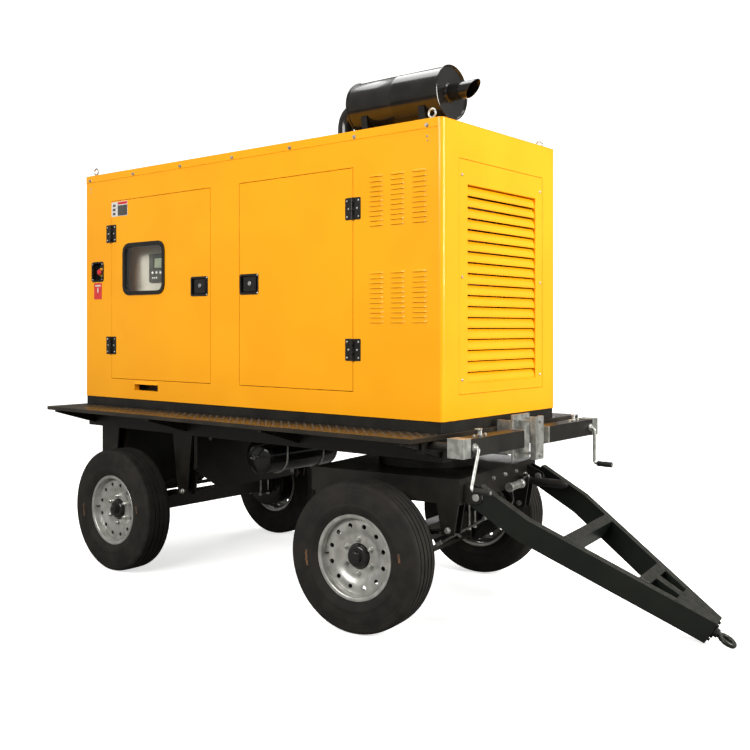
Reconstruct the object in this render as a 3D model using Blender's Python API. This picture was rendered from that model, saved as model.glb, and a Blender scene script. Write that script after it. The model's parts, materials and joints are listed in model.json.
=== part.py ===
"""Towable diesel generator: a yellow weatherproof genset on a four-wheel trailer with a turntable front axle.

Units are metres and +Z is up. While the model is built, X runs forward from the housing's front face,
Y runs left from the centre plane and Z runs up from the ground. At the end everything is shifted along X,
so that the origin is the centre of the whole object's footprint. "right" is the -Y side, "left" the +Y side.
"""

from math import asin, cos, pi, radians, sin, tan

import bmesh
import bpy
from mathutils import Matrix, Vector

GAP = 0.0003  # between pieces that touch
PLAY = 0.001  # between pieces that slide or turn on each other

# Housing
HOUSING_LENGTH, HOUSING_WIDTH = 3.045, 1.160
HOUSING_BOTTOM, HOUSING_TOP = 1.081, 2.605
SHEET = 0.003
WALL = 0.040
ROOF_FLANGE = 0.047
DOOR_BOTTOM, DOOR_TOP = 1.209, 2.411
FRONT_DOOR = (-1.474, -0.583)  # X range of its opening
REAR_DOOR = (-2.739, -1.731)
DOOR_GAP = 0.003
HINGE_STANDOFF = 0.010  # hinge pin centre outside the door's face
END_PANEL_WIDTH, END_PANEL_BOTTOM, END_PANEL_TOP = 0.857, 1.209, 2.419
WINDOW_CENTRE, WINDOW_SIZE = (-2.388, 1.943), (0.438, 0.346)  # X, Z and width, height
LATCH_CENTRE_Z, LATCH_SIZE = 1.809, (0.171, 0.122)
FRONT_LATCH_X, REAR_LATCH_X = -1.388, -1.833
ESTOP_CENTRE, ESTOP_SIZE = (-2.896, 1.937), 0.137

# Trailer
DECK_TOP, DECK_LIP, DECK_SHEET = 1.022, 0.024, 0.006
DECK_X, DECK_HALF_WIDTH = (-3.080, 0.010), 0.850
FRAME_BOTTOM = 0.875
RAIL_Y = (0.460, 0.540)
PIVOT_X, REAR_AXLE_X = -0.500, -2.420
STEERED = radians(7.5)  # how far the turntable is turned to the left at rest
BOGIE_TOP, BOGIE_DEPTH = 0.780, 0.130

# Wheels: 7.00-16 tyres on 5.5 x 16 six-stud rims
TYRE_RADIUS, TRACK = 0.3875, 1.440
WHEEL_SIDES, HUB_SIDES = 24, 16
SPINDLE_RADIUS, SPINDLE_BORE = 0.030, 0.032
AXLE_BEAM = 0.090
SPRING_SPAN, SPRING_WIDTH, LEAF = 0.380, 0.060, 0.009
REAR_SPRING_Y, FRONT_SPRING_Y = 0.500, 0.460
SPRING_EYE_Z, HANGER_FOOT = 0.514, 0.490  # heights

# Drawbar, in its own plane: U runs forward from its hinge and V to the left
DRAWBAR_HINGE = (0.520, 0.690)  # ahead of the turntable's pivot, and height
DRAWBAR_DEPTH, ARM_WIDTH = 0.120, 0.055
ARM_HALF_SPREAD, ARM_BEND_U, NOSE_U, NOSE_HALF_WIDTH = 0.445, 0.280, 1.230, 0.060
EYE_U, EYE_RADIUS, EYE_SECTION = 1.305, 0.037, 0.013
DRAWBAR_PITCH = asin((DRAWBAR_HINGE[1] - EYE_SECTION) / (EYE_U + EYE_RADIUS))  # the eye is on the ground

# Front jacks, stowed end to end across the front
JACK_X, JACK_Z, JACK_SIZE, JACK_WALL = 0.165, 0.975, 0.090, 0.005
JACK_OUTER_Y, JACK_INNER_Y, JACK_PIVOT_Y, CRANK_Y = 0.700, 0.135, 0.655, 0.610
CRANK_ARM, CRANK_GRIP = 0.205, 0.110

FINISHES = {  # colour, roughness, metallic
    "yellow powder coat": ((0.95, 0.46, 0.02), 0.30, 0.0),
    "chassis black": ((0.030, 0.028, 0.024), 0.45, 0.0),
    "deck plate": ((0.045, 0.036, 0.026), 0.35, 0.3),
    "drawbar green black": ((0.045, 0.065, 0.050), 0.50, 0.0),
    "tyre rubber": ((0.035, 0.034, 0.032), 0.85, 0.0),
    "wheel silver": ((0.62, 0.62, 0.60), 0.35, 0.8),
    "gloss black": ((0.012, 0.012, 0.012), 0.12, 0.0),
    "black rubber": ((0.015, 0.015, 0.015), 0.60, 0.0),
    "zinc": ((0.58, 0.60, 0.60), 0.40, 0.9),
    "red plastic": ((0.65, 0.02, 0.02), 0.30, 0.0),
    "window glass": ((0.60, 0.65, 0.66), 0.05, 0.0),
    "panel beige": ((0.62, 0.60, 0.54), 0.45, 0.0),
    "engine green": ((0.05, 0.16, 0.12), 0.45, 0.2),
    "alternator grey": ((0.20, 0.22, 0.24), 0.45, 0.3),
    "radiator black": ((0.03, 0.03, 0.03), 0.55, 0.3),
}


# ---- shapes -------------------------------------------------------------------------------------------


def solid(points, faces, name="shape"):
    """An object from points and faces, with its normals facing out."""
    mesh = bpy.data.meshes.new(name)
    mesh.from_pydata([tuple(point) for point in points], [], faces)
    work = bmesh.new()
    work.from_mesh(mesh)
    bmesh.ops.recalc_face_normals(work, faces=work.faces)
    work.to_mesh(mesh)
    work.free()
    shape = bpy.data.objects.new(name, mesh)
    bpy.context.scene.collection.objects.link(shape)
    return shape


BLOCK_FACES = [(0, 1, 3, 2), (4, 6, 7, 5), (0, 4, 5, 1), (2, 3, 7, 6), (0, 2, 6, 4), (1, 5, 7, 3)]


def box(x, y, z):
    """A block from three (low, high) ranges."""
    return solid([(a, b, c) for a in x for b in y for c in z], BLOCK_FACES)


def prism(outline, along, span):
    """A 2-D outline pushed along one axis: its points are (X, Y), (X, Z) or (Y, Z) for Z, Y or X."""
    place = {
        "Z": lambda a, b, c: (a, b, c),
        "Y": lambda a, b, c: (a, c, b),
        "X": lambda a, b, c: (c, a, b),
    }[along]
    count = len(outline)
    points = [place(a, b, level) for level in span for a, b in outline]
    faces = [tuple(range(count)), tuple(range(count, 2 * count))]
    faces += [(i, (i + 1) % count, count + (i + 1) % count, count + i) for i in range(count)]
    return solid(points, faces)


def turned(profile, sides, axis="Y"):
    """A profile of (distance along the axis, radius) turned round the axis, with a flat facet downwards.

    A point of radius 0 is a pole. Without poles the profile is closed into a ring.
    """
    place = {
        "X": lambda d, r, a: (d, r * cos(a), r * sin(a)),
        "Y": lambda d, r, a: (r * cos(a), d, r * sin(a)),
        "Z": lambda d, r, a: (r * cos(a), r * sin(a), d),
    }[axis]
    points, rings = [], []
    for distance, radius in profile:
        if radius == 0:
            rings.append([len(points)] * sides)
            points.append(place(distance, 0.0, 0.0))
            continue
        rings.append([len(points) + i for i in range(sides)])
        points += [place(distance, radius, -pi / 2 + (2 * i + 1) * pi / sides) for i in range(sides)]
    pairs = list(zip(rings, rings[1:]))
    if profile[0][1] > 0:
        pairs.append((rings[-1], rings[0]))
    faces = []
    for low, high in pairs:
        for i in range(sides):
            j = (i + 1) % sides
            corners = [low[i], low[j], high[j], high[i]]
            faces.append(tuple(dict.fromkeys(corners)))
    return solid(points, faces)


def rod(start, end, radius, sides=12):
    """A straight round bar between two points."""
    start, end = Vector(start), Vector(end)
    bar = turned([(0, 0), (0, radius), ((end - start).length, radius), ((end - start).length, 0)], sides, "Z")
    turn = (end - start).to_track_quat("Z", "Y").to_matrix().to_4x4()
    turn.translation = start
    bar.data.transform(turn)
    return bar


def bent_pipe(centre, bend_radius, pipe_radius, start, sweep, sides=12, steps=6):
    """A quarter-like bend in the XZ plane, between two angles about its centre."""
    points, faces = [], []
    for i in range(steps + 1):
        angle = start + sweep * i / steps
        outward = Vector((cos(angle), 0, sin(angle)))
        middle = Vector(centre) + bend_radius * outward
        for k in range(sides):
            turn = 2 * pi * k / sides
            points.append(middle + pipe_radius * (cos(turn) * outward + sin(turn) * Vector((0, 1, 0))))
    for i in range(steps):
        for k in range(sides):
            a, b = i * sides + k, i * sides + (k + 1) % sides
            faces.append((a, b, b + sides, a + sides))
    faces += [tuple(range(sides)), tuple(range(steps * sides, (steps + 1) * sides))]
    return solid(points, faces)


def rounded(centre, size, radius, steps=3):
    """The outline of a rectangle with round corners."""
    outline = []
    for quarter, (a, b) in enumerate(((1, 1), (-1, 1), (-1, -1), (1, -1))):
        middle = (centre[0] + a * (size[0] / 2 - radius), centre[1] + b * (size[1] / 2 - radius))
        for i in range(steps + 1):
            angle = (quarter + i / steps) * pi / 2
            outline.append((middle[0] + radius * cos(angle), middle[1] + radius * sin(angle)))
    return outline


def combine(base, others, operation):
    """Joins the other shapes to the base, or cuts them from it, and removes them."""
    group = bpy.data.collections.new("operands")
    for other in others:
        group.objects.link(other)
    modifier = base.modifiers.new("combine", "BOOLEAN")
    modifier.operation = operation
    modifier.operand_type = "COLLECTION"
    modifier.collection = group
    bpy.context.view_layer.update()
    graph = bpy.context.evaluated_depsgraph_get()
    combined = bpy.data.meshes.new_from_object(base.evaluated_get(graph))
    base.modifiers.clear()
    old = base.data
    base.data = combined
    bpy.data.meshes.remove(old)
    for other in others:
        bpy.data.objects.remove(other)
    bpy.data.collections.remove(group)
    return base


def joined(*shapes):
    return combine(shapes[0], shapes[1:], "UNION")


def cut(base, *cutters):
    return combine(base, cutters, "DIFFERENCE")


def moved(shape, x=0.0, z=0.0):
    shape.data.transform(Matrix.Translation((x, 0, z)))
    return shape


def mirrored(x_or_y_range, side):
    """A (low, high) range on the chosen side of the centre plane."""
    return tuple(sorted(side * value for value in x_or_y_range))


def finish_material(finish):
    material = bpy.data.materials.get(finish)
    if material is None:
        colour, roughness, metallic = FINISHES[finish]
        material = bpy.data.materials.new(finish)
        material.use_nodes = True
        shader = material.node_tree.nodes["Principled BSDF"]
        shader.inputs["Base Color"].default_value = (*colour, 1)
        shader.inputs["Roughness"].default_value = roughness
        shader.inputs["Metallic"].default_value = metallic
    return material


def node(name, shape, finish, parent=None, origin=(0, 0, 0)):
    """Names a shape, gives it its finish and puts its origin, such as a hinge, at a point."""
    shape.name = shape.data.name = name
    shape.data.materials.clear()
    shape.data.materials.append(finish_material(finish))
    for vertex in shape.data.vertices:
        vertex.co -= Vector(origin)
    shape.location = origin
    shape.parent = parent
    shape.data.shade_smooth()
    shape.data.set_sharp_from_angle(angle=radians(35))
    return shape


def pivot(name, parent=None, location=(0, 0, 0), rotation=(0, 0, 0)):
    empty = bpy.data.objects.new(name, None)
    bpy.context.scene.collection.objects.link(empty)
    empty.parent = parent
    empty.location = location
    empty.rotation_euler = rotation
    return empty


SIDES = (("right", -1), ("left", 1))


# ---- trailer frame ------------------------------------------------------------------------------------


OUTRIGGER_X = (-0.050, -1.030, -2.010, -2.990)


def chassis_frame(root):
    top = DECK_TOP - DECK_SHEET - GAP
    front, rear = DECK_X[1] - 0.030, DECK_X[0] + 0.030
    rails = [box((rear, front), mirrored(RAIL_Y, side), (FRAME_BOTTOM, top)) for _, side in SIDES]
    bar_count, bar = 9, 0.060
    pitch = (front - rear - bar) / (bar_count - 1)
    bars = []
    for i in range(bar_count):
        x = rear + i * pitch
        bars.append(box((x, x + bar), (-0.500, 0.500), (FRAME_BOTTOM + 0.020, top - 0.004)))
    outriggers = []
    for x in OUTRIGGER_X:
        for _, side in SIDES:
            reach = DECK_HALF_WIDTH - 0.012
            outline = [
                (side * 0.500, FRAME_BOTTOM + 0.010),
                (side * reach, top - 0.030),
                (side * reach, top - 0.002),
                (side * 0.500, top - 0.002),
            ]
            outriggers.append(prism(outline, "X", (x - 0.015, x + 0.015)))
    ring_seat = box((PIVOT_X - 0.320, PIVOT_X + 0.320), (-0.500, 0.500), (FRAME_BOTTOM, FRAME_BOTTOM + 0.025))
    hangers = []
    for _, side in SIDES:
        for end in (-1, 1):
            eye_x = REAR_AXLE_X + end * SPRING_SPAN
            for face in (-1, 1):
                inner = REAR_SPRING_Y + face * (SPRING_WIDTH / 2 + PLAY)
                plate = tuple(sorted((inner, inner + face * 0.009)))
                outline = [
                    (eye_x - 0.095, FRAME_BOTTOM + 0.010),
                    (eye_x - 0.040, HANGER_FOOT),
                    (eye_x + 0.040, HANGER_FOOT),
                    (eye_x + 0.095, FRAME_BOTTOM + 0.010),
                ]
                hangers.append(prism(outline, "Y", mirrored(plate, side)))
    stub_rear, stub_front = DECK_X[1] - 0.060, JACK_X - JACK_SIZE / 2 - GAP
    stubs, stub_plates = [], []
    for _, side in SIDES:
        pivot_y = side * JACK_PIVOT_Y
        stubs.append(rod((stub_rear, pivot_y, JACK_Z), (stub_front, pivot_y, JACK_Z), 0.020))
        width, height = mirrored((0.500, 0.720), side), (FRAME_BOTTOM + 0.060, top - 0.004)
        stub_plates.append(box((stub_rear, stub_rear + 0.030), width, height))
    parts = rails + bars + outriggers + [ring_seat] + hangers + stub_plates + stubs
    node("chassis_frame", joined(*parts), "chassis black", root)


def deck_plate(root):
    plate = box(DECK_X, (-DECK_HALF_WIDTH, DECK_HALF_WIDTH), (DECK_TOP - DECK_LIP, DECK_TOP))
    inside = 0.006
    pocket = box(
        (DECK_X[0] + inside, DECK_X[1] - inside),
        (-DECK_HALF_WIDTH + inside, DECK_HALF_WIDTH - inside),
        (DECK_TOP - 2 * DECK_LIP, DECK_TOP - DECK_SHEET),
    )
    node("deck_plate", cut(plate, pocket), "deck plate", root)


def turntable(root, bogie):
    seat = FRAME_BOTTOM - GAP
    middle = (BOGIE_TOP + FRAME_BOTTOM) / 2
    upper = [(seat, 0.290), (seat, 0.215), (middle + 0.0005, 0.215), (middle + 0.0005, 0.290)]
    node("turntable_upper_ring", moved(turned(upper, 24, "Z"), x=PIVOT_X), "chassis black", root)
    low = BOGIE_TOP + GAP
    lower = [(middle - 0.0005, 0.290), (middle - 0.0005, 0.215), (low, 0.215), (low, 0.290)]
    node("turntable_lower_ring", turned(lower, 24, "Z"), "chassis black", bogie)


def leaf_spring(name, centre_x, centre_y, parent):
    """A stepped leaf pack over the axle, its master leaf's eyes between the hangers."""
    seat = TYRE_RADIUS + AXLE_BEAM / 2 + GAP
    leaves, middle = 5, seat + 5 * LEAF
    rise = SPRING_EYE_Z + 0.006 - middle

    def top(x):
        return middle + rise * (x / SPRING_SPAN) ** 2

    ends = [SPRING_SPAN * share for share in (1.00, 0.86, 0.68, 0.50, 0.32)]
    upper = [(x, top(x)) for x in (SPRING_SPAN * (i / 5 - 1) for i in range(11))]
    right = []
    for i, end in enumerate(ends):
        right.append((end, top(end) - (i + 1) * LEAF))
        if i + 1 < leaves:
            right.append((ends[i + 1], top(ends[i + 1]) - (i + 1) * LEAF))
    lower = right + [(0.045, seat), (-0.045, seat)] + [(-x, z) for x, z in reversed(right)]
    half = SPRING_WIDTH / 2
    pack = prism([(centre_x + x, z) for x, z in upper + lower], "Y", (centre_y - half, centre_y + half))
    eyes = []
    for end in (-1, 1):
        eye_x = centre_x + end * SPRING_SPAN
        near, far = (eye_x, centre_y - half, SPRING_EYE_Z), (eye_x, centre_y + half, SPRING_EYE_Z)
        eyes.append(rod(near, far, 0.020))
    node(name, joined(pack, *eyes), "chassis black", parent)


def axle(name, centre_x, spring_y, parent):
    half = AXLE_BEAM / 2
    beam = box((centre_x - half, centre_x + half), (-0.550, 0.550), (TYRE_RADIUS - half, TYRE_RADIUS + half))
    spindle = rod((centre_x, -0.770, TYRE_RADIUS), (centre_x, 0.770, TYRE_RADIUS), SPINDLE_RADIUS, HUB_SIDES)
    under = TYRE_RADIUS - half
    clamps = []
    for _, side in SIDES:
        width = mirrored((spring_y - 0.042, spring_y + 0.042), side)
        clamps.append(box((centre_x - 0.060, centre_x + 0.060), width, (under - 0.012, under + 0.004)))
    node(name, joined(beam, spindle, *clamps), "chassis black", parent)


def wheel(place, centre_x, side, parent):
    """Tyre, rim and hub on one spindle; distances along the axle are from the trailer's centre plane."""
    spin = pivot(f"{place}_wheel_spin", parent, (centre_x, side * TRACK / 2, TYRE_RADIUS))
    facet = 1 / cos(pi / WHEEL_SIDES)  # a facet's middle, not its corners, has the true radius

    def part(name, profile, sides, scale, finish):
        shape = turned([(side * (d - TRACK / 2), r * scale) for d, r in profile], sides)
        node(f"{name}_{place}", shape, finish, spin)

    tread = TYRE_RADIUS
    tyre = [
        (0.672, 0.2033), (0.645, 0.300), (0.655, 0.365), (0.785, 0.365), (0.795, 0.300), (0.768, 0.2033),
        (0.7937, 0.2033), (0.7937, 0.221), (0.820, 0.290), (0.808, 0.372), (0.790, tread), (0.650, tread),
        (0.632, 0.372), (0.620, 0.290), (0.6463, 0.221), (0.6463, 0.2033),
    ]
    rim = [
        (0.640, 0.2205), (0.646, 0.2205), (0.646, 0.203), (0.794, 0.203), (0.794, 0.2205), (0.800, 0.2205),
        (0.800, 0.1975), (0.762, 0.197), (0.764, 0.150), (0.7455, 0.105), (0.7455, 0.065), (0.7355, 0.065),
        (0.7355, 0.108), (0.752, 0.197), (0.640, 0.197),
    ]
    hub = [
        (0.795, 0), (0.795, 0.040), (0.768, 0.060), (0.735, 0.062), (0.735, 0.104), (0.722, 0.104),
        (0.700, 0.155), (0.555, 0.155), (0.555, SPINDLE_BORE), (0.775, SPINDLE_BORE), (0.775, 0),
    ]
    part("tyre", tyre, WHEEL_SIDES, facet, "tyre rubber")
    part("rim", rim, WHEEL_SIDES, facet, "wheel silver")
    part("hub_drum", hub, HUB_SIDES, 1.0, "gloss black")


def bogie_frame(bogie):
    """The turntable's sub-frame, about its own pivot: side members, cross members, top plate and ears."""
    low, high = BOGIE_TOP - BOGIE_DEPTH, BOGIE_TOP
    rear, front = -0.470, 0.450
    inner, outer = FRONT_SPRING_Y - 0.042, FRONT_SPRING_Y + 0.042
    sides = [box((rear, front), mirrored((inner, outer), side), (low, high)) for _, side in SIDES]
    plate = box((rear, front), (-outer, outer), (high - 0.012, high))
    reach = inner + 0.010
    bars = [box((x, x + 0.060), (-reach, reach), (low, high - 0.004)) for x in (rear, front - 0.060)]
    hangers = []
    for _, side in SIDES:
        for end in (-1, 1):
            eye_x = end * SPRING_SPAN
            for face in (-1, 1):
                start = FRONT_SPRING_Y + face * (SPRING_WIDTH / 2 + PLAY)
                span = mirrored(tuple(sorted((start, start + face * 0.009))), side)
                outline = [
                    (eye_x - 0.070, low + 0.020),
                    (eye_x - 0.035, HANGER_FOOT),
                    (eye_x + 0.035, HANGER_FOOT),
                    (eye_x + 0.065, low + 0.020),
                ]
                hangers.append(prism(outline, "Y", span))
    hinge_x, hinge_z = DRAWBAR_HINGE
    ears, pins = [], []
    for _, side in SIDES:
        middle = ARM_HALF_SPREAD - ARM_WIDTH / 2
        for face in (-1, 1):
            start = middle + face * (ARM_WIDTH / 2 + 0.002)
            span = mirrored(tuple(sorted((start, start + face * 0.012))), side)
            outline = [
                (front - 0.020, low + 0.004),
                (hinge_x, hinge_z - 0.034),
                (hinge_x + 0.028, hinge_z - 0.020),
                (hinge_x + 0.028, hinge_z + 0.020),
                (hinge_x, hinge_z + 0.034),
                (front - 0.020, high - 0.020),
            ]
            ears.append(prism(outline, "Y", span))
        ends = mirrored((middle - 0.045, middle + 0.045), side)
        pins.append(rod((hinge_x, ends[0], hinge_z), (hinge_x, ends[1], hinge_z), 0.013))
    node("bogie_frame", joined(plate, *sides, *bars, *hangers, *ears, *pins), "chassis black", bogie)


def drawbar(bogie):
    hinge_x, hinge_z = DRAWBAR_HINGE
    hinge = pivot("drawbar_hinge", bogie, (hinge_x, 0, hinge_z), (0, DRAWBAR_PITCH, 0))
    half = DRAWBAR_DEPTH / 2
    taper = (ARM_HALF_SPREAD - NOSE_HALF_WIDTH) / (NOSE_U - ARM_BEND_U)

    def outer(u):
        return ARM_HALF_SPREAD - max(0, u - ARM_BEND_U) * taper

    def arm(side, inset, start):
        """One arm's outline: a short straight stretch from the hinge, then the long taper to the nose."""
        end = NOSE_U - inset
        edge = [(start, outer(0) - inset), (ARM_BEND_U, outer(0) - inset), (end, outer(end) - inset)]
        back = [(end, outer(end) - ARM_WIDTH + inset), (ARM_BEND_U, outer(0) - ARM_WIDTH + inset)]
        back.append((start, outer(0) - ARM_WIDTH + inset))
        return [(u, side * v) for u, v in edge + back]

    start = -0.018
    shapes = [prism(arm(side, 0, start), "Z", (-half, half)) for _, side in SIDES]
    mid_u, small_u = (0.445, 0.500), (0.828, 0.884)
    for u in (mid_u, small_u):
        reach = outer(u[1]) - ARM_WIDTH / 2
        shapes.append(box(u, (-reach, reach), (-half + 0.010, half)))
    shapes.append(box((0.860, NOSE_U), (-0.033, 0.033), (-half + 0.010, half)))
    plate_u = 1.020
    wide, narrow = outer(plate_u) - 0.010, outer(NOSE_U)
    nose = [(plate_u, -wide), (NOSE_U, -narrow), (NOSE_U, narrow), (plate_u, wide)]
    shapes.append(prism(nose, "Z", (-half, half)))
    shapes.append(rod((NOSE_U - 0.01, 0, 0), (NOSE_U + 0.012, 0, 0), 0.038))
    frame = joined(*shapes)
    wall = 0.006
    hollows = [prism(arm(side, wall, start - 0.010), "Z", (wall - half, half - wall)) for _, side in SIDES]
    bores = []
    for _, side in SIDES:
        ends = mirrored((ARM_HALF_SPREAD - ARM_WIDTH - 0.010, ARM_HALF_SPREAD + 0.010), side)
        bores.append(rod((0, ends[0], 0), (0, ends[1], 0), 0.0155))
    bore = rod((NOSE_U - 0.060, 0, 0), (NOSE_U + 0.030, 0, 0), 0.0165)
    node("drawbar_frame", cut(frame, *hollows, *bores, bore), "drawbar green black", hinge)
    ring_sides, section_sides = 16, 8
    points, faces = [], []
    for i in range(ring_sides):
        angle = 2 * pi * i / ring_sides
        for k in range(section_sides):
            turn = 2 * pi * (k + 0.5) / section_sides
            reach = EYE_RADIUS + EYE_SECTION * cos(turn)
            points.append((EYE_U + reach * cos(angle), reach * sin(angle), EYE_SECTION * sin(turn)))
            a, b = i * section_sides + k, i * section_sides + (k + 1) % section_sides
            c, d = [(value + section_sides) % (ring_sides * section_sides) for value in (b, a)]
            faces.append((a, b, c, d))
    ring = solid(points, faces)
    shank = rod((NOSE_U - 0.055, 0, 0), (EYE_U - EYE_RADIUS, 0, 0), 0.014)
    collar = rod((NOSE_U + 0.0125, 0, 0), (NOSE_U + 0.030, 0, 0), 0.024)
    node("tow_eye", joined(ring, shank, collar), "drawbar green black", hinge)


def air_tank(root):
    radius, centre_x, centre_z = 0.110, -1.500, FRAME_BOTTOM - 0.001 - 0.110
    profile = [(-0.420, 0), (-0.412, 0.055), (-0.385, radius), (0.215, radius), (0.242, 0.055), (0.250, 0)]
    node("air_tank", moved(turned(profile, 20, "Y"), centre_x, centre_z), "gloss black", root)


CRANK_LEAN = {"right": radians(20), "left": 0.0}  # how far each crank was left from hanging straight


def jacks(root):
    half = JACK_SIZE / 2
    inside = half - JACK_WALL
    for name, side in SIDES:
        centre = (JACK_X, side * JACK_PIVOT_Y, JACK_Z)
        swing = pivot(f"{name}_jack_swing", root, centre)
        long = mirrored((JACK_INNER_Y, JACK_OUTER_Y), side)
        long_inside = mirrored((0, JACK_OUTER_Y - 0.012), side)
        tube = box((JACK_X - half, JACK_X + half), long, (JACK_Z - half, JACK_Z + half))
        hollow = box((JACK_X - inside, JACK_X + inside), long_inside, (JACK_Z - inside, JACK_Z + inside))
        body = node(f"jack_tube_{name}", cut(tube, hollow), "chassis black", None, centre)
        slide = half - JACK_WALL - PLAY
        leg = box(
            (JACK_X - slide, JACK_X + slide),
            mirrored((JACK_INNER_Y - 0.006, JACK_OUTER_Y - 0.040), side),
            (JACK_Z - slide, JACK_Z + slide),
        )
        foot = box(
            (JACK_X - half, JACK_X + half),
            mirrored((JACK_INNER_Y - 0.014, JACK_INNER_Y - 0.002), side),
            (JACK_Z - half, JACK_Z + half),
        )
        leg = node(f"jack_leg_{name}", joined(leg, foot), "zinc", None, centre)
        front = JACK_X + half + GAP
        arm_x = front + 0.028
        crank_y = side * CRANK_Y
        lean = CRANK_LEAN[name]
        down, across = (side * sin(lean), -cos(lean)), (cos(lean), side * sin(lean))

        def on_arm(along, sideways):
            return (
                crank_y + along * down[0] + sideways * across[0],
                JACK_Z + along * down[1] + sideways * across[1],
            )

        shaft = rod((front, crank_y, JACK_Z), (arm_x, crank_y, JACK_Z), 0.011)
        ends = ((-0.016, -0.010), (CRANK_ARM + 0.010, -0.010), (CRANK_ARM + 0.010, 0.010), (-0.016, 0.010))
        arm = prism([on_arm(*corner) for corner in ends], "X", (arm_x - 0.007, arm_x + 0.007))
        low_y, low = on_arm(CRANK_ARM, 0)
        grip = rod((arm_x, low_y, low), (arm_x + CRANK_GRIP, low_y, low), 0.014)
        crank = joined(shaft, arm, grip)
        crank = node(f"jack_crank_{name}", crank, "zinc", None, (JACK_X, crank_y, JACK_Z))
        for piece in (body, leg, crank):
            piece.parent = swing
            piece.location = piece.location - Vector(centre)
    back = box((DECK_X[1] + GAP, 0.112), (-0.130, 0.130), (0.850, 1.090))
    strip = box((0.100, 0.224), (-0.042, 0.042), (0.856, 1.084))
    node("jack_bracket", joined(back, strip), "zinc", root)


# ---- housing ------------------------------------------------------------------------------------------


def skid_base(root):
    inset, wall, half = 0.012, 0.060, 0.568
    rear, front = -HOUSING_LENGTH + inset, -inset
    base = box((rear, front), (-half, half), (DECK_TOP + GAP, HOUSING_BOTTOM - GAP))
    across, height = (wall - half, half - wall), (DECK_TOP - 0.010, HOUSING_BOTTOM - 0.010)
    pocket = box((rear + wall, front - wall), across, height)
    node("skid_base", cut(base, pocket), "chassis black", root)


SHELL_HALF = HOUSING_WIDTH / 2 - SHEET - 0.0005  # the shell's outer face, inside the roof's flanges


SHELL_CORNER = 0.025  # radius of the upright corners


def housing_shell(root):
    top = HOUSING_TOP - SHEET - GAP
    plan = rounded((-HOUSING_LENGTH / 2, 0), (HOUSING_LENGTH, 2 * SHELL_HALF), SHELL_CORNER, 4)
    shell = prism(plan, "Z", (HOUSING_BOTTOM, top))
    inner = SHELL_HALF - WALL
    cavity = box((-HOUSING_LENGTH + 0.050, -0.050), (-inner, inner), (HOUSING_BOTTOM - 0.1, top + 0.1))
    doors = [box(span, (-1, 1), (DOOR_BOTTOM, DOOR_TOP)) for span in (FRONT_DOOR, REAR_DOOR)]
    half = END_PANEL_WIDTH / 2
    ends = box((-HOUSING_LENGTH - 1, 1), (-half, half), (END_PANEL_BOTTOM, END_PANEL_TOP))
    size = ESTOP_SIZE + 0.002
    recess = prism(rounded(ESTOP_CENTRE, (size, size), 0.020), "Y", (-1, -inner + 0.1))
    slot = box((-2.486, -2.241), (-1, -inner + 0.1), (1.140, 1.182))
    node("housing_shell", cut(shell, cavity, *doors, ends, recess, slot), "yellow powder coat", root)


def roof_cap(root):
    half = HOUSING_WIDTH / 2
    plan = rounded((-HOUSING_LENGTH / 2, 0), (HOUSING_LENGTH, HOUSING_WIDTH), SHELL_CORNER + SHEET, 4)
    cap = prism(plan, "Z", (HOUSING_TOP - ROOF_FLANGE, HOUSING_TOP))
    inner = half - SHEET
    under = box((-HOUSING_LENGTH - 1, 1), (-inner, inner), (HOUSING_TOP - 1, HOUSING_TOP - SHEET))
    node("roof_cap", cut(cap, under), "yellow powder coat", root)


def louvre_panel(name, outer_x, forward, root):
    """A removable end panel: a pan with eighteen sloping blades across its field."""
    half, low, high = END_PANEL_WIDTH / 2 - 0.002, END_PANEL_BOTTOM + 0.002, END_PANEL_TOP - 0.002
    depth = 0.046

    def reach(near, far):
        return tuple(sorted((outer_x - forward * near, outer_x - forward * far)))

    pan = box(reach(0.001, depth), (-half, half), (low, high))
    field = 0.697 / 2
    pitch, blades = 0.057, 18
    start = (low + high) / 2 - pitch * blades / 2 - 0.035
    opening = box(reach(-0.1, 0.1), (-field, field), (start, start + pitch * blades))
    frame = cut(pan, opening)
    slats = []
    for i in range(blades):
        base = start + i * pitch
        outline = [(0.004, base + 0.002), (0.007, base), (0.040, base + 0.042), (0.037, base + 0.044)]
        outline = [(outer_x - forward * x, z) for x, z in outline]
        slats.append(prism(outline, "Y", (-field - 0.010, field + 0.010)))
    node(name, joined(frame, *slats), "yellow powder coat", root)


def end_panel(root):
    """The rear end's plain service panel, with a duct slot row at its foot."""
    half = END_PANEL_WIDTH / 2 - 0.002
    back = -HOUSING_LENGTH + 0.001
    pan = box((back, back + 0.040), (-half, half), (END_PANEL_BOTTOM + 0.002, END_PANEL_TOP - 0.002))
    slots = []
    for i in range(8):
        low = 1.300 + i * 0.057
        slots.append(box((back - 0.1, back + 0.1), (-0.300, 0.300), (low, low + 0.025)))
    node("rear_panel", cut(pan, *slots), "yellow powder coat", root)


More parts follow.
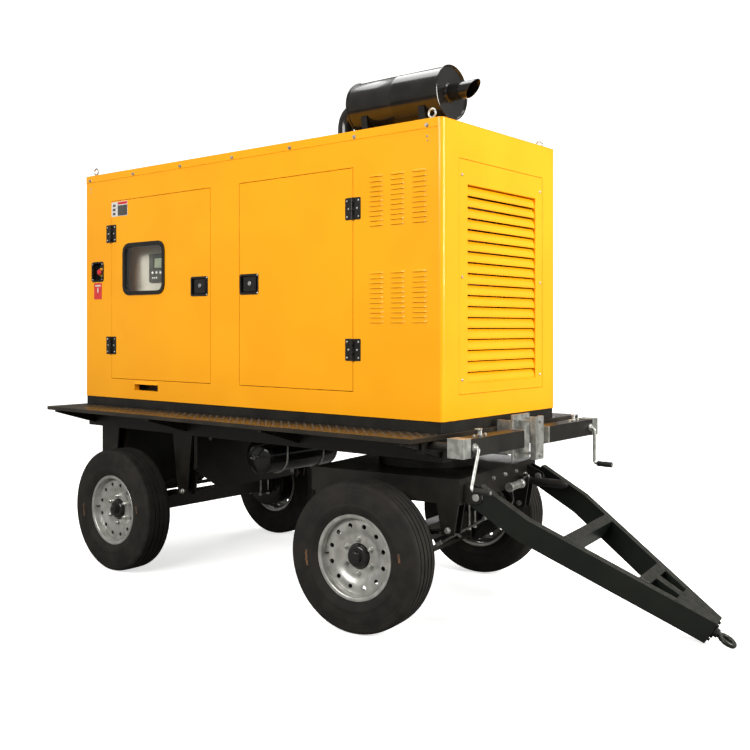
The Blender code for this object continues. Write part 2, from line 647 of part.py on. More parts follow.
def doors(root):
    thick = WALL - 0.004
    for side_name, side in SIDES:
        for place, span, hinge_at, latch_x in (
            ("front", FRONT_DOOR, 1, FRONT_LATCH_X),
            ("rear", REAR_DOOR, 0, REAR_LATCH_X),
        ):
            name = f"{place}_{side_name}"
            hinge_x = span[hinge_at]
            axis = (hinge_x, side * (SHELL_HALF + HINGE_STANDOFF), DOOR_BOTTOM)
            swing = pivot(f"door_{name}_hinge", root, axis)
            faces = mirrored((SHELL_HALF - thick, SHELL_HALF), side)
            length = (span[0] + DOOR_GAP, span[1] - DOOR_GAP)
            height = (DOOR_BOTTOM + DOOR_GAP, DOOR_TOP - DOOR_GAP)
            leaf = box(length, faces, height)
            width, height = LATCH_SIZE
            cutters = [
                box(
                    (latch_x - width / 2 + 0.012, latch_x + width / 2 - 0.012),
                    mirrored((SHELL_HALF - 0.024, SHELL_HALF + 0.1), side),
                    (LATCH_CENTRE_Z - height / 2 + 0.012, LATCH_CENTRE_Z + height / 2 - 0.012),
                )
            ]
            if name == "rear_right":
                outline = rounded(WINDOW_CENTRE, (WINDOW_SIZE[0] - 0.030, WINDOW_SIZE[1] - 0.030), 0.050)
                cutters.append(prism(outline, "Y", (-1, 0)))
            leaf = node(f"door_{name}", cut(leaf, *cutters), "yellow powder coat", None, axis)
            leaf.parent, leaf.location = swing, (0, 0, 0)
            latch(name, side, latch_x, swing, axis)
            if name == "rear_right":
                window(swing, axis)


def latch(name, side, latch_x, swing, axis):
    """The paddle, hinged along its upper edge inside the door's dish."""
    width, height = LATCH_SIZE
    hinge = (latch_x, side * (SHELL_HALF - 0.012), LATCH_CENTRE_Z + height / 2 - 0.022)
    paddle = box(
        (latch_x - 0.052, latch_x + 0.052),
        mirrored((SHELL_HALF - 0.015, SHELL_HALF - 0.003), side),
        (LATCH_CENTRE_Z - height / 2 + 0.018, LATCH_CENTRE_Z + height / 2 - 0.017),
    )
    paddle = node(f"latch_{name}", paddle, "gloss black", None, hinge)
    paddle.parent = swing
    paddle.location = Vector(hinge) - Vector(axis)


def window(swing, axis):
    """A rubber ring clipped round the window's hole, proud of the door, with the pane inside it."""
    outer_y, inner_y = -SHELL_HALF - 0.008, -SHELL_HALF - GAP
    lip = prism(rounded(WINDOW_CENTRE, WINDOW_SIZE, 0.062), "Y", (outer_y, inner_y))
    size = (WINDOW_SIZE[0] - 0.031, WINDOW_SIZE[1] - 0.031)
    neck = prism(rounded(WINDOW_CENTRE, size, 0.0495), "Y", (outer_y + 0.002, -SHELL_HALF + 0.030))
    sight = (WINDOW_SIZE[0] - 0.050, WINDOW_SIZE[1] - 0.050)
    hole = prism(rounded(WINDOW_CENTRE, sight, 0.042), "Y", (-1, 0))
    gasket = node("window_gasket", cut(joined(lip, neck), hole), "black rubber", None, axis)
    pane_size = (sight[0] - 2 * GAP, sight[1] - 2 * GAP)
    outline = rounded(WINDOW_CENTRE, pane_size, 0.042 - GAP)
    pane = prism(outline, "Y", (-SHELL_HALF + 0.002, -SHELL_HALF + 0.007))
    pane = node("window_pane", pane, "window glass", None, axis)
    for piece in (gasket, pane):
        piece.parent, piece.location = swing, (0, 0, 0)


def emergency_stop(root):
    x, z = ESTOP_CENTRE
    face = -SHELL_HALF
    dish = prism(rounded(ESTOP_CENTRE, (ESTOP_SIZE, ESTOP_SIZE), 0.019), "Y", (face - 0.004, face + 0.045))
    inside = ESTOP_SIZE - 0.020
    hollow = prism(rounded(ESTOP_CENTRE, (inside, inside), 0.012), "Y", (face - 0.1, face + 0.030))
    bore = rod((x, face, z), (x, face + 0.1, z), 0.012)
    node("estop_housing", cut(cut(dish, hollow), bore), "gloss black", root)
    profile = [(0.004, 0), (0.006, 0.017), (0.013, 0.022), (0.019, 0.020), (0.019, 0)]
    head = moved(turned([(face + d, r) for d, r in profile], 16), x, z)
    stem = rod((x, face + 0.015, z), (x, face + 0.043, z), 0.0105)
    node("estop_button", joined(head, stem), "red plastic", root, (x, face, z))


def muffler(root):
    """Canister, mitred tail pipe, inlet bend and saddles, welded into one."""
    axis_z, radius = HOUSING_TOP + 0.281, 0.156
    front, rear = -0.335, -1.0025
    shell = [
        (front, 0), (front - 0.012, 0.148), (front, radius - 0.002), (front - 0.006, radius),
        (rear + 0.006, radius),
        (rear, radius - 0.002), (rear + 0.012, 0.148), (rear, 0),
    ]
    canister = moved(turned(shell, 28, "X"), z=axis_z)
    pipe = rod((front - 0.060, 0, axis_z), (-0.120, 0, axis_z), 0.048, 16)
    bore = rod((front + 0.030, 0, axis_z), (-0.100, 0, axis_z), 0.044, 16)
    low, high = axis_z - 0.060, axis_z + 0.060
    mitre = prism([(-0.148, high), (-0.245, low), (0, low), (0, high)], "Y", (-0.1, 0.1))
    tail = cut(pipe, bore, mitre)
    bend_x, bend_radius = rear - 0.020, 0.110
    stub = rod((rear + 0.020, 0, axis_z), (bend_x - 0.004, 0, axis_z), 0.050, 12)
    bend = bent_pipe((bend_x, 0, axis_z - bend_radius), bend_radius, 0.050, pi / 2, pi / 2)
    drop_x = bend_x - bend_radius
    drop = rod((drop_x, 0, axis_z - bend_radius + 0.004), (drop_x, 0, HOUSING_TOP + GAP), 0.050, 12)
    collar = rod((drop_x, 0, HOUSING_TOP + 0.012), (drop_x, 0, HOUSING_TOP + GAP), 0.085, 16)
    foot, crown = HOUSING_TOP + GAP, axis_z - radius * 0.72
    saddles = [box((x - 0.025, x + 0.025), (-0.100, 0.100), (foot, crown)) for x in (-0.460, -0.880)]
    node("muffler", joined(canister, tail, stub, bend, drop, collar, *saddles), "gloss black", root)


# ---- inside the housing -------------------------------------------------------------------------------


def power_train(root):
    floor = HOUSING_BOTTOM
    block = box((-1.340, -0.620), (-0.230, 0.230), (floor + 0.160, 1.780))
    head = box((-1.300, -0.660), (-0.160, 0.160), (1.770, 1.930))
    sump = box((-1.240, -0.720), (-0.180, 0.180), (floor + 0.060, floor + 0.180))
    feet = [
        box((x, x + 0.090), mirrored((0.140, 0.330), side), (floor + GAP, floor + 0.200))
        for x in (-1.290, -0.760)
        for _, side in SIDES
    ]
    hub = rod((-0.630, 0, 1.620), (-0.560, 0, 1.620), 0.060)
    riser = rod((-1.1325, 0, 1.900), (-1.1325, 0, HOUSING_TOP - SHEET - 0.010), 0.045)
    node("engine", joined(block, head, sump, *feet, hub, riser), "engine green", root)
    body = turned([(-1.342, 0), (-1.342, 0.250), (-2.000, 0.250), (-2.040, 0.200), (-2.040, 0)], 20, "X")
    moved(body, z=1.520)
    terminal = box((-1.960, -1.560), (-0.200, 0.200), (1.700, 1.960))
    saddle = box((-1.940, -1.460), (-0.240, 0.240), (floor + GAP, 1.400))
    node("alternator", joined(body, terminal, saddle), "alternator grey", root)
    core = box((-0.340, -0.240), (-0.440, 0.440), (floor + GAP, 2.350))
    node("radiator", core, "radiator black", root)
    fan(root)
    node("fuel_tank", box((-2.860, -2.120), (-0.500, 0.500), (floor + GAP, 1.460)), "chassis black", root)
    node("battery", box((-1.250, -0.930), (0.345, 0.515), (floor + GAP, floor + 0.220)), "black rubber", root)
    cabinet = box((-2.730, -1.745), (-0.430, -0.290), (1.640, 2.360))
    screen_centre = (WINDOW_CENTRE[0] + 0.020, WINDOW_CENTRE[1] + 0.010)
    display = prism(rounded(screen_centre, (0.250, 0.190), 0.012, 2), "Y", (-0.446, -0.420))
    legs = [box((x, x + 0.040), (-0.400, -0.320), (1.460 + GAP, 1.650)) for x in (-2.700, -2.170)]
    node("control_panel", joined(cabinet, display, *legs), "panel beige", root)


def fan(root):
    """Six pitched blades on a boss that turns ahead of the engine."""
    centre = Vector((-0.500, 0, 1.620))
    boss = rod((-0.555, 0, 1.620), (-0.450, 0, 1.620), 0.070, 12)
    blades = []
    for i in range(6):
        angle = i * pi / 3
        radial = Vector((0, cos(angle), sin(angle)))
        across = Vector((0, -sin(angle), cos(angle)))
        lean = tan(radians(28))
        corners = []
        for reach, chord in ((0.050, 0.050), (0.330, 0.085)):
            for along in (-1, 1):
                for face in (-1, 1):
                    point = centre + radial * reach + across * along * chord
                    corners.append(point + Vector((along * chord * lean * 0.5 + face * 0.003, 0, 0)))
        blades.append(solid(corners, BLOCK_FACES))
    node("fan", joined(boss, *blades), "alternator grey", root, tuple(centre))


def centre_footprint(root):
    """Shifts everything along X so that the origin is the middle of the whole object's length."""
    bpy.context.view_layer.update()
    reach = [
        (shape.matrix_world @ vertex.co).x
        for shape in bpy.data.objects
        if shape.type == "MESH"
        for vertex in shape.data.vertices
    ]
    root.location.x = -(min(reach) + max(reach)) / 2


def main():
    for leftover in list(bpy.data.objects):
        bpy.data.objects.remove(leftover)
    root = pivot("generator")
    bogie = pivot("turntable_pivot", root, (PIVOT_X, 0, 0), (0, 0, STEERED))
    chassis_frame(root)
    deck_plate(root)
    turntable(root, bogie)
    axle("rear_axle", REAR_AXLE_X, REAR_SPRING_Y, root)
    axle("front_axle", 0, FRONT_SPRING_Y, bogie)
    for name, side in SIDES:
        leaf_spring(f"rear_spring_{name}", REAR_AXLE_X, side * REAR_SPRING_Y, root)
        leaf_spring(f"front_spring_{name}", 0, side * FRONT_SPRING_Y, bogie)
        wheel(f"rear_{name}", REAR_AXLE_X, side, root)
        wheel(f"front_{name}", 0, side, bogie)
    bogie_frame(bogie)
    drawbar(bogie)
    air_tank(root)
    jacks(root)
    skid_base(root)
    housing_shell(root)
    roof_cap(root)
    louvre_panel("front_louvre_panel", 0, 1, root)
    end_panel(root)
    doors(root)
    emergency_stop(root)
    muffler(root)
    power_train(root)
    centre_footprint(root)


main()
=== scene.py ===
import json
from math import cos, pi, radians, sin

import bmesh
import bpy
from mathutils import Matrix, Vector


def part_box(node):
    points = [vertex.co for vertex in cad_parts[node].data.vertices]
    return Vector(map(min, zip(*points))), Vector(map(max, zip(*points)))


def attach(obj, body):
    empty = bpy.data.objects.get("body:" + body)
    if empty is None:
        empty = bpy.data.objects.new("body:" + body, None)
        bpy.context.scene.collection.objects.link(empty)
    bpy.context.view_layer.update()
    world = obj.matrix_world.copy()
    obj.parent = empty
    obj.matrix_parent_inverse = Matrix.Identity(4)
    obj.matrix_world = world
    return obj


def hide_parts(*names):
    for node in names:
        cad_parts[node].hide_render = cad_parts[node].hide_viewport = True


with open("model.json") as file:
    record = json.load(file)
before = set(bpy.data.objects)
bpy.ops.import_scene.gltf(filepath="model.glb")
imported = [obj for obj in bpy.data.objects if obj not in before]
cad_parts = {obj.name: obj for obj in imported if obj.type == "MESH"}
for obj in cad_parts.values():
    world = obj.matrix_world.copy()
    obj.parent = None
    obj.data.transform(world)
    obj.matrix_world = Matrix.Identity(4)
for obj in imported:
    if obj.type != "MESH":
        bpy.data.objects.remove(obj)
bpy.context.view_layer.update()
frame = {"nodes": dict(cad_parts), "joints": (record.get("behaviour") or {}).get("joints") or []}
joints = {joint["name"]: joint for joint in frame["joints"]}
sides = {"right": -1, "left": 1}
up = Vector((0, 0, 1))
print("frame loaded:", len(frame["nodes"]), "nodes")

# where things are, read from the frame


def spaceOf(origin, ahead, leftward):
    ahead, leftward = Vector(ahead), Vector(leftward)
    space = Matrix((ahead, leftward, ahead.cross(leftward))).transposed().to_4x4()
    space.translation = origin
    return space


shellLow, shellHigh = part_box("housing_shell")
housing = {
    "front": shellHigh.x, "rear": shellLow.x, "face": shellHigh.y,  # face: the side sheets' outer surface
    "floor": shellLow.z, "roof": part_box("roof_cap")[1].z, "roofHalf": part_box("roof_cap")[1].y,
}
leftward = -Vector(joints["drawbar_pitch"]["axis"])
turntableSpace = spaceOf((joints["steering"]["pos_m"][0], 0, 0), leftward.cross(up), leftward)
drawbarSpace = spaceOf(joints["drawbar_pitch"]["pos_m"], joints["tow_ring_swivel"]["axis"], leftward)

# mesh tools: each adds to an open bmesh


def addFaces(work, points, faces):
    made = [work.verts.new(point) for point in points]
    for face in faces:
        work.faces.new([made[i] for i in face])


def addBlock(work, x, y, z):
    points = [(a, b, c) for a in x for b in y for c in z]
    addFaces(work, points, [(0, 1, 3, 2), (4, 6, 7, 5), (0, 4, 5, 1), (2, 3, 7, 6), (0, 2, 6, 4),
                            (1, 5, 7, 3)])


def addPrism(work, outline, span, place):
    count = len(outline)
    points = [place(a, b, level) for level in span for a, b in outline]
    faces = [tuple(range(count)), tuple(range(count, 2 * count))]
    faces += [(i, (i + 1) % count, count + (i + 1) % count, count + i) for i in range(count)]
    addFaces(work, points, faces)


# a flat frame between two outlines that have as many points as each other
def addRing(work, outer, inner, span, place):
    count = len(outer)
    points = [place(a, b, level) for level in span for outline in (outer, inner) for a, b in outline]
    faces = []
    for i in range(count):
        j = (i + 1) % count
        faces += [(i, j, count + j, count + i), (2 * count + i, 2 * count + j, 3 * count + j,
                                                 3 * count + i)]
        faces += [(i, j, 2 * count + j, 2 * count + i),
                  (count + i, count + j, 3 * count + j, 3 * count + i)]
    addFaces(work, points, faces)


def addTurned(work, profile, origin, direction, steps=32, ring=False):
    turn = Vector(direction).to_track_quat("Z", "Y").to_matrix()
    loops = []
    for along, radius in profile:
        if radius == 0:
            loops.append([work.verts.new(Vector(origin) + turn @ Vector((0, 0, along)))] * steps)
            continue
        angles = [2 * pi * i / steps for i in range(steps)]
        loops.append([
            work.verts.new(Vector(origin) + turn @ Vector((radius * cos(a), radius * sin(a), along)))
            for a in angles
        ])
    pairs = list(zip(loops, loops[1:])) + ([(loops[-1], loops[0])] if ring else [])
    for low, high in pairs:
        for i in range(steps):
            j = (i + 1) % steps
            corners = list(dict.fromkeys([low[i], low[j], high[j], high[i]]))
            if len(corners) > 2:
                work.faces.new(corners)


def addRod(work, start, end, radius, steps=20, chamfer=0.0015):
    start, end = Vector(start), Vector(end)
    length = (end - start).length
    chamfer = min(chamfer, radius * 0.5, length * 0.4)
    profile = [(0, 0), (0, radius - chamfer), (chamfer, radius), (length - chamfer, radius)]
    addTurned(work, profile + [(length, radius - chamfer), (length, 0)], start, end - start, steps)


def smoothPath(points, perSpan=8):
    points = [Vector(point) for point in points]
    ends = [2 * points[0] - points[1]] + points + [2 * points[-1] - points[-2]]
    path = []
    for a, b, c, d in zip(ends, ends[1:], ends[2:], ends[3:]):
        for i in range(perSpan):
            t = i / perSpan
            path.append(0.5 * (2 * b + (c - a) * t + (2 * a - 5 * b + 4 * c - d) * t * t
                               + (3 * b - a - 3 * c + d) * t ** 3))
    return path + [points[-1]]


def roundedPath(points, radius, steps=5):  # straight runs with their corners rounded
    points = [Vector(point) for point in points]
    path = [points[0]]
    for before, corner, after in zip(points, points[1:], points[2:]):
        a = corner + (before - corner).normalized() * radius
        b = corner + (after - corner).normalized() * radius
        for i in range(steps + 1):
            t = i / steps
            path.append(a * (1 - t) ** 2 + corner * 2 * t * (1 - t) + b * t * t)
    return path + [points[-1]]


def addTube(work, path, radius, steps=12, closed=False):
    path = [Vector(point) for point in path]
    count = len(path)
    side, loops = None, []
    for i, point in enumerate(path):
        ahead = path[(i + 1) % count] if closed or i + 1 < count else point
        behind = path[i - 1] if closed or i else point
        along = (ahead - behind).normalized()
        side = (along.orthogonal() if side is None else side - along * side.dot(along)).normalized()
        other = along.cross(side)
        loops.append([
            work.verts.new(point
                           + radius * (cos(2 * pi * k / steps) * side + sin(2 * pi * k / steps) * other))
            for k in range(steps)
        ])
    for low, high in list(zip(loops, loops[1:])) + ([(loops[-1], loops[0])] if closed else []):
        for k in range(steps):
            work.faces.new([low[k], low[(k + 1) % steps], high[(k + 1) % steps], high[k]])
    if not closed:
        work.faces.new(loops[0])
        work.faces.new(loops[-1])


def addBolt(work, centre, outward, flats=0.017, washer=True):
    outward = Vector(outward).normalized()
    centre = Vector(centre)
    if washer:
        addRod(work, centre, centre + outward * 0.0022, flats * 0.72, 20, 0.0006)
    addRod(work, centre + outward * 0.0022, centre + outward * (0.0022 + flats * 0.55), flats * 0.56, 6,
           flats * 0.06)


def addScrew(work, centre, outward, radius):
    profile = [(0, radius), (0.25 * radius, radius), (0.50 * radius, 0.80 * radius),
               (0.66 * radius, 0.40 * radius)]
    addTurned(work, profile + [(0.50 * radius, 0.30 * radius), (0.50 * radius, 0)], centre, outward, 16)


def roundedOutline(centre, size, radius, steps=6):
    outline = []
    for quarter, (a, b) in enumerate(((1, 1), (-1, 1), (-1, -1), (1, -1))):
        middle = (centre[0] + a * (size[0] / 2 - radius), centre[1] + b * (size[1] / 2 - radius))
        for i in range(steps + 1):
            angle = (quarter + i / steps) * pi / 2
            outline.append((middle[0] + radius * cos(angle), middle[1] + radius * sin(angle)))
    return outline


def onSide(side):  # places (X, Z, distance out of the side sheet) on one side of the housing
    return lambda x, z, out: (x, side * (housing["face"] + out), z)


# finishes: shared effects are node groups, each finish is one material

bpy.context.scene.view_settings.view_transform = "Standard"


def newGroup(name, inputs, outputs):
    group = bpy.data.node_groups.new(name, "ShaderNodeTree")
    for socket, kind, value in inputs:
        made = group.interface.new_socket(socket, in_out="INPUT", socket_type=kind)
        made.default_value = value
    for socket, kind in outputs:
        group.interface.new_socket(socket, in_out="OUTPUT", socket_type=kind)
    return group, group.nodes.new("NodeGroupInput"), group.nodes.new("NodeGroupOutput")


# a shader node with its settings, and values or links by socket name or number
def addNode(tree, kind, links=None, **settings):
    made = tree.nodes.new(kind)
    for name, value in settings.items():
        setattr(made, name, value)
    for socket, value in (links or {}).items():
        if isinstance(value, bpy.types.NodeSocket):
            tree.links.new(value, made.inputs[socket])
        else:
            made.inputs[socket].default_value = value
    return made


def noiseOn(tree, vector, scale, detail=3.0, roughness=0.55):
    return addNode(tree, "ShaderNodeTexNoise", {"Vector": vector, "Scale": scale, "Detail": detail,
                                                "Roughness": roughness}).outputs["Fac"]


def rampOn(tree, value, low, high):  # 0 below low, 1 above high, smooth between
    return addNode(tree, "ShaderNodeMapRange", {"Value": value, "From Min": low, "From Max": high},
                   interpolation_type="SMOOTHSTEP").outputs[0]


def mathOn(tree, operation, a, b=0.0, clamp=False):
    return addNode(tree, "ShaderNodeMath", {0: a, 1: b}, operation=operation, use_clamp=clamp).outputs[0]


def mixOn(tree, factor, a, b):
    mixed = addNode(tree, "ShaderNodeMix", data_type="RGBA")
    for index, value in ((0, factor), (6, a), (7, b)):
        if isinstance(value, bpy.types.NodeSocket):
            tree.links.new(value, mixed.inputs[index])
        else:
            mixed.inputs[index].default_value = value if index == 0 else (*value,
                1) if len(value) == 3 else value
    return mixed.outputs[2]


def buildEdgeWear():
    group, given, out = newGroup(
        "edgeWear", [("Radius", "NodeSocketFloat", 0.004), ("Breakup", "NodeSocketFloat", 30.0)],
        [("Mask", "NodeSocketFloat")]
    )
    place = addNode(group, "ShaderNodeTexCoord").outputs["Object"]
    plain = addNode(group, "ShaderNodeNewGeometry").outputs["Normal"]
    soft = addNode(group, "ShaderNodeBevel", {"Radius": given.outputs["Radius"]},
                   samples=4).outputs["Normal"]
    facing = addNode(group, "ShaderNodeVectorMath", {0: plain, 1: soft},
                     operation="DOT_PRODUCT").outputs["Value"]
    edge = rampOn(group, facing, 0.985, 0.86)
    noise = addNode(group, "ShaderNodeTexNoise", {"Vector": place, "Scale": given.outputs["Breakup"],
                                                  "Detail": 4.0}).outputs["Fac"]
    mask = mathOn(group, "MULTIPLY", edge, rampOn(group, noise, 0.42, 0.66))
    group.links.new(mask, out.inputs["Mask"])
    return group


def buildDust():
    group, given, out = newGroup(
        "roadDust",
        [("Low", "NodeSocketFloat", 0.1), ("High", "NodeSocketFloat", 1.0),
         ("Scale", "NodeSocketFloat", 6.0)],
        [("Mask", "NodeSocketFloat")],
    )
    place = addNode(group, "ShaderNodeTexCoord").outputs["Object"]
    height = addNode(group, "ShaderNodeSeparateXYZ", {0: place}).outputs["Z"]
    near = addNode(
        group, "ShaderNodeMapRange",
        {"Value": height, "From Min": given.outputs["Low"], "From Max": given.outputs["High"],
         "To Min": 1.0, "To Max": 0.25},
    ).outputs[0]
    cloud = addNode(group, "ShaderNodeTexNoise", {"Vector": place, "Scale": given.outputs["Scale"],
                                                  "Detail": 6.0, "Roughness": 0.65}).outputs["Fac"]
    rise = addNode(group, "ShaderNodeSeparateXYZ",
                   {0: addNode(group, "ShaderNodeNewGeometry").outputs["Normal"]}).outputs["Z"]
    lying = addNode(group, "ShaderNodeMapRange", {"Value": rise, "From Min": -0.2, "From Max": 1.0,
                                                  "To Min": 0.6, "To Max": 1.3}).outputs[0]
    mask = mathOn(group, "MULTIPLY", mathOn(group, "MULTIPLY", near, rampOn(group, cloud, 0.35, 0.75)),
                  lying, True)
    group.links.new(mask, out.inputs["Mask"])
    return group


def buildGrain():
    group, given, out = newGroup(
        "surfaceGrain",
        [("Fine", "NodeSocketFloat", 400.0), ("Broad", "NodeSocketFloat", 3.0),
         ("Fine Depth", "NodeSocketFloat", 0.0001),
         ("Broad Depth", "NodeSocketFloat", 0.0)],
        [("Height", "NodeSocketFloat"), ("Cloud", "NodeSocketFloat")],
    )
    place = addNode(group, "ShaderNodeTexCoord").outputs["Object"]
    fine = addNode(group, "ShaderNodeTexNoise", {"Vector": place, "Scale": given.outputs["Fine"],
                                                 "Detail": 2.0}).outputs["Fac"]
    broad = addNode(group, "ShaderNodeTexNoise", {"Vector": place, "Scale": given.outputs["Broad"],
                                                  "Detail": 1.0}).outputs["Fac"]
    height = mathOn(
        group, "ADD", mathOn(group, "MULTIPLY", fine, given.outputs["Fine Depth"]),
        mathOn(group, "MULTIPLY", broad, given.outputs["Broad Depth"]),
    )
    group.links.new(height, out.inputs["Height"])
    group.links.new(broad, out.inputs["Cloud"])
    return group


def buildUpFacing():
    group, given, out = newGroup("upFacing",
                                 [("Start", "NodeSocketFloat", 0.6), ("End", "NodeSocketFloat", 0.85)],
                                 [("Mask", "NodeSocketFloat")])
    high = addNode(group, "ShaderNodeSeparateXYZ",
                   {0: addNode(group, "ShaderNodeNewGeometry").outputs["Normal"]}).outputs["Z"]
    mask = addNode(group, "ShaderNodeMapRange", {"Value": high, "From Min": given.outputs["Start"],
                                                 "From Max": given.outputs["End"]}).outputs[0]
    group.links.new(mask, out.inputs["Mask"])
    return group


effects = {"wear": buildEdgeWear(), "dust": buildDust(), "grain": buildGrain(), "upFacing": buildUpFacing()}


def useEffect(tree, name, **values):
    made = tree.nodes.new("ShaderNodeGroup")
    made.node_tree = effects[name]
    for socket, value in values.items():
        made.inputs[socket.replace("_", " ")].default_value = value
    return made.outputs


finishLook = {
    # colour, second colour of its slow variation, roughness, metallic, coat, then fine grain per metre
    # and its depth, the broad ripple and its depth, and dust
    "yellow_powder_coat": {"colour": (0.95, 0.385, 0.003), "second": (0.98, 0.410, 0.004), "rough": 0.30,
                           "spec": 0.22, "coat": 0.22, "coatRough": 0.07,
                           "fine": 520, "fineDepth": 0.00004, "broad": 2.6, "broadDepth": 0.0016,
                           "dust": 0.02, "wear": None},
    "chassis_black": {"colour": (0.0042, 0.0036, 0.0026), "second": (0.0085, 0.0072, 0.0052),
                      "rough": 0.42, "spec": 0.32, "coat": 0.12, "coatRough": 0.3,
                      "fine": 260, "fineDepth": 0.0002, "broad": 9, "broadDepth": 0.0006, "dust": 0.09,
                      "wear": (0.05, 0.043, 0.035)},
    "deck_chequer_plate": {"colour": (0.011, 0.0078, 0.0045), "second": (0.020, 0.0140, 0.0075),
                           "rough": 0.30, "coat": 0.3, "coatRough": 0.2,
                           "fine": 320, "fineDepth": 0.0002, "broad": 5, "broadDepth": 0.001, "dust": 0.10,
                           "wear": (0.10, 0.075, 0.045)},
    "drawbar_green_black": {"colour": (0.0020, 0.0042, 0.0026), "second": (0.0034, 0.0064, 0.0042),
                            "rough": 0.42, "spec": 0.28, "coat": 0.2, "coatRough": 0.3,
                            "fine": 300, "fineDepth": 0.00018, "broad": 8, "broadDepth": 0.0005,
                            "dust": 0.03, "wear": (0.045, 0.050, 0.045),
                            "top": (0.026, 0.026, 0.023)},
    "tyre_rubber": {"colour": (0.0078, 0.0070, 0.0062), "second": (0.0135, 0.0120, 0.0102), "rough": 0.78,
                    "spec": 0.30, "coat": 0.0, "coatRough": 0.5,
                    "fine": 700, "fineDepth": 0.0003, "broad": 14, "broadDepth": 0.0004, "dust": 0.09,
                    "wear": (0.024, 0.022, 0.019)},
    "wheel_silver": {"colour": (0.50, 0.50, 0.475), "second": (0.36, 0.36, 0.34), "rough": 0.30,
                     "metallic": 0.60, "coat": 0.1, "coatRough": 0.3,
                     "fine": 420, "fineDepth": 0.0001, "broad": 18, "broadDepth": 0.0003, "dust": 0.12,
                     "wear": (0.60, 0.60, 0.57)},
    "gloss_black": {"colour": (0.006, 0.006, 0.006), "second": (0.009, 0.009, 0.009), "rough": 0.18,
                    "spec": 0.30, "coat": 0.30, "coatRough": 0.05,
                    "fine": 300, "fineDepth": 0.00003, "broad": 7, "broadDepth": 0.0009, "dust": 0.05,
                    "wear": None},
    "black_rubber": {"colour": (0.008, 0.008, 0.008), "second": (0.012, 0.012, 0.011), "rough": 0.55,
                     "spec": 0.35, "coat": 0.0, "coatRough": 0.5,
                     "fine": 900, "fineDepth": 0.00012, "broad": 12, "broadDepth": 0.0002, "dust": 0.05,
                     "wear": (0.03, 0.03, 0.03)},
    "latch_black": {"colour": (0.007, 0.0065, 0.006), "second": (0.011, 0.010, 0.009), "rough": 0.30,
                    "spec": 0.35, "coat": 0.12, "coatRough": 0.2,
                    "fine": 1100, "fineDepth": 0.00012, "broad": 10, "broadDepth": 0.0001, "dust": 0.06,
                    "wear": (0.06, 0.055, 0.05)},
    "zinc": {"colour": (0.56, 0.57, 0.54), "second": (0.34, 0.35, 0.33), "rough": 0.36, "metallic": 0.85,
             "coat": 0.0, "coatRough": 0.3,
             "fine": 500, "fineDepth": 0.0001, "broad": 26, "broadDepth": 0.0003, "dust": 0.12,
             "wear": (0.8, 0.8, 0.8)},
    "red_plastic": {"colour": (0.62, 0.018, 0.020), "second": (0.70, 0.03, 0.03), "rough": 0.28,
                    "coat": 0.2, "coatRough": 0.1,
                    "fine": 900, "fineDepth": 0.00004, "broad": 20, "broadDepth": 0.0001, "dust": 0.03,
                    "wear": None},
    "panel_beige": {"colour": (0.50, 0.475, 0.41), "second": (0.56, 0.53, 0.46), "rough": 0.45,
                    "coat": 0.1, "coatRough": 0.3,
                    "fine": 800, "fineDepth": 0.0001, "broad": 6, "broadDepth": 0.0003, "dust": 0.05,
                    "wear": (0.6, 0.6, 0.58)},
    "engine_green": {"colour": (0.025, 0.10, 0.075), "second": (0.035, 0.13, 0.095), "rough": 0.40,
                     "coat": 0.2, "coatRough": 0.3,
                     "fine": 240, "fineDepth": 0.0008, "broad": 16, "broadDepth": 0.0006, "dust": 0.15,
                     "wear": (0.12, 0.16, 0.14)},
    "alternator_grey": {"colour": (0.15, 0.165, 0.18), "second": (0.20, 0.215, 0.23), "rough": 0.42,
                        "metallic": 0.2, "coat": 0.1, "coatRough": 0.3,
                        "fine": 260, "fineDepth": 0.0005, "broad": 10, "broadDepth": 0.0003, "dust": 0.15,
                        "wear": (0.4, 0.4, 0.4)},
    "radiator_black": {"colour": (0.010, 0.010, 0.010), "second": (0.018, 0.017, 0.016), "rough": 0.6,
                       "metallic": 0.2, "coat": 0.0, "coatRough": 0.5,
                       "fine": 600, "fineDepth": 0.0002, "broad": 10, "broadDepth": 0.0002, "dust": 0.12,
                       "wear": (0.1, 0.1, 0.1)},
}
dustColour = (0.16, 0.125, 0.085)


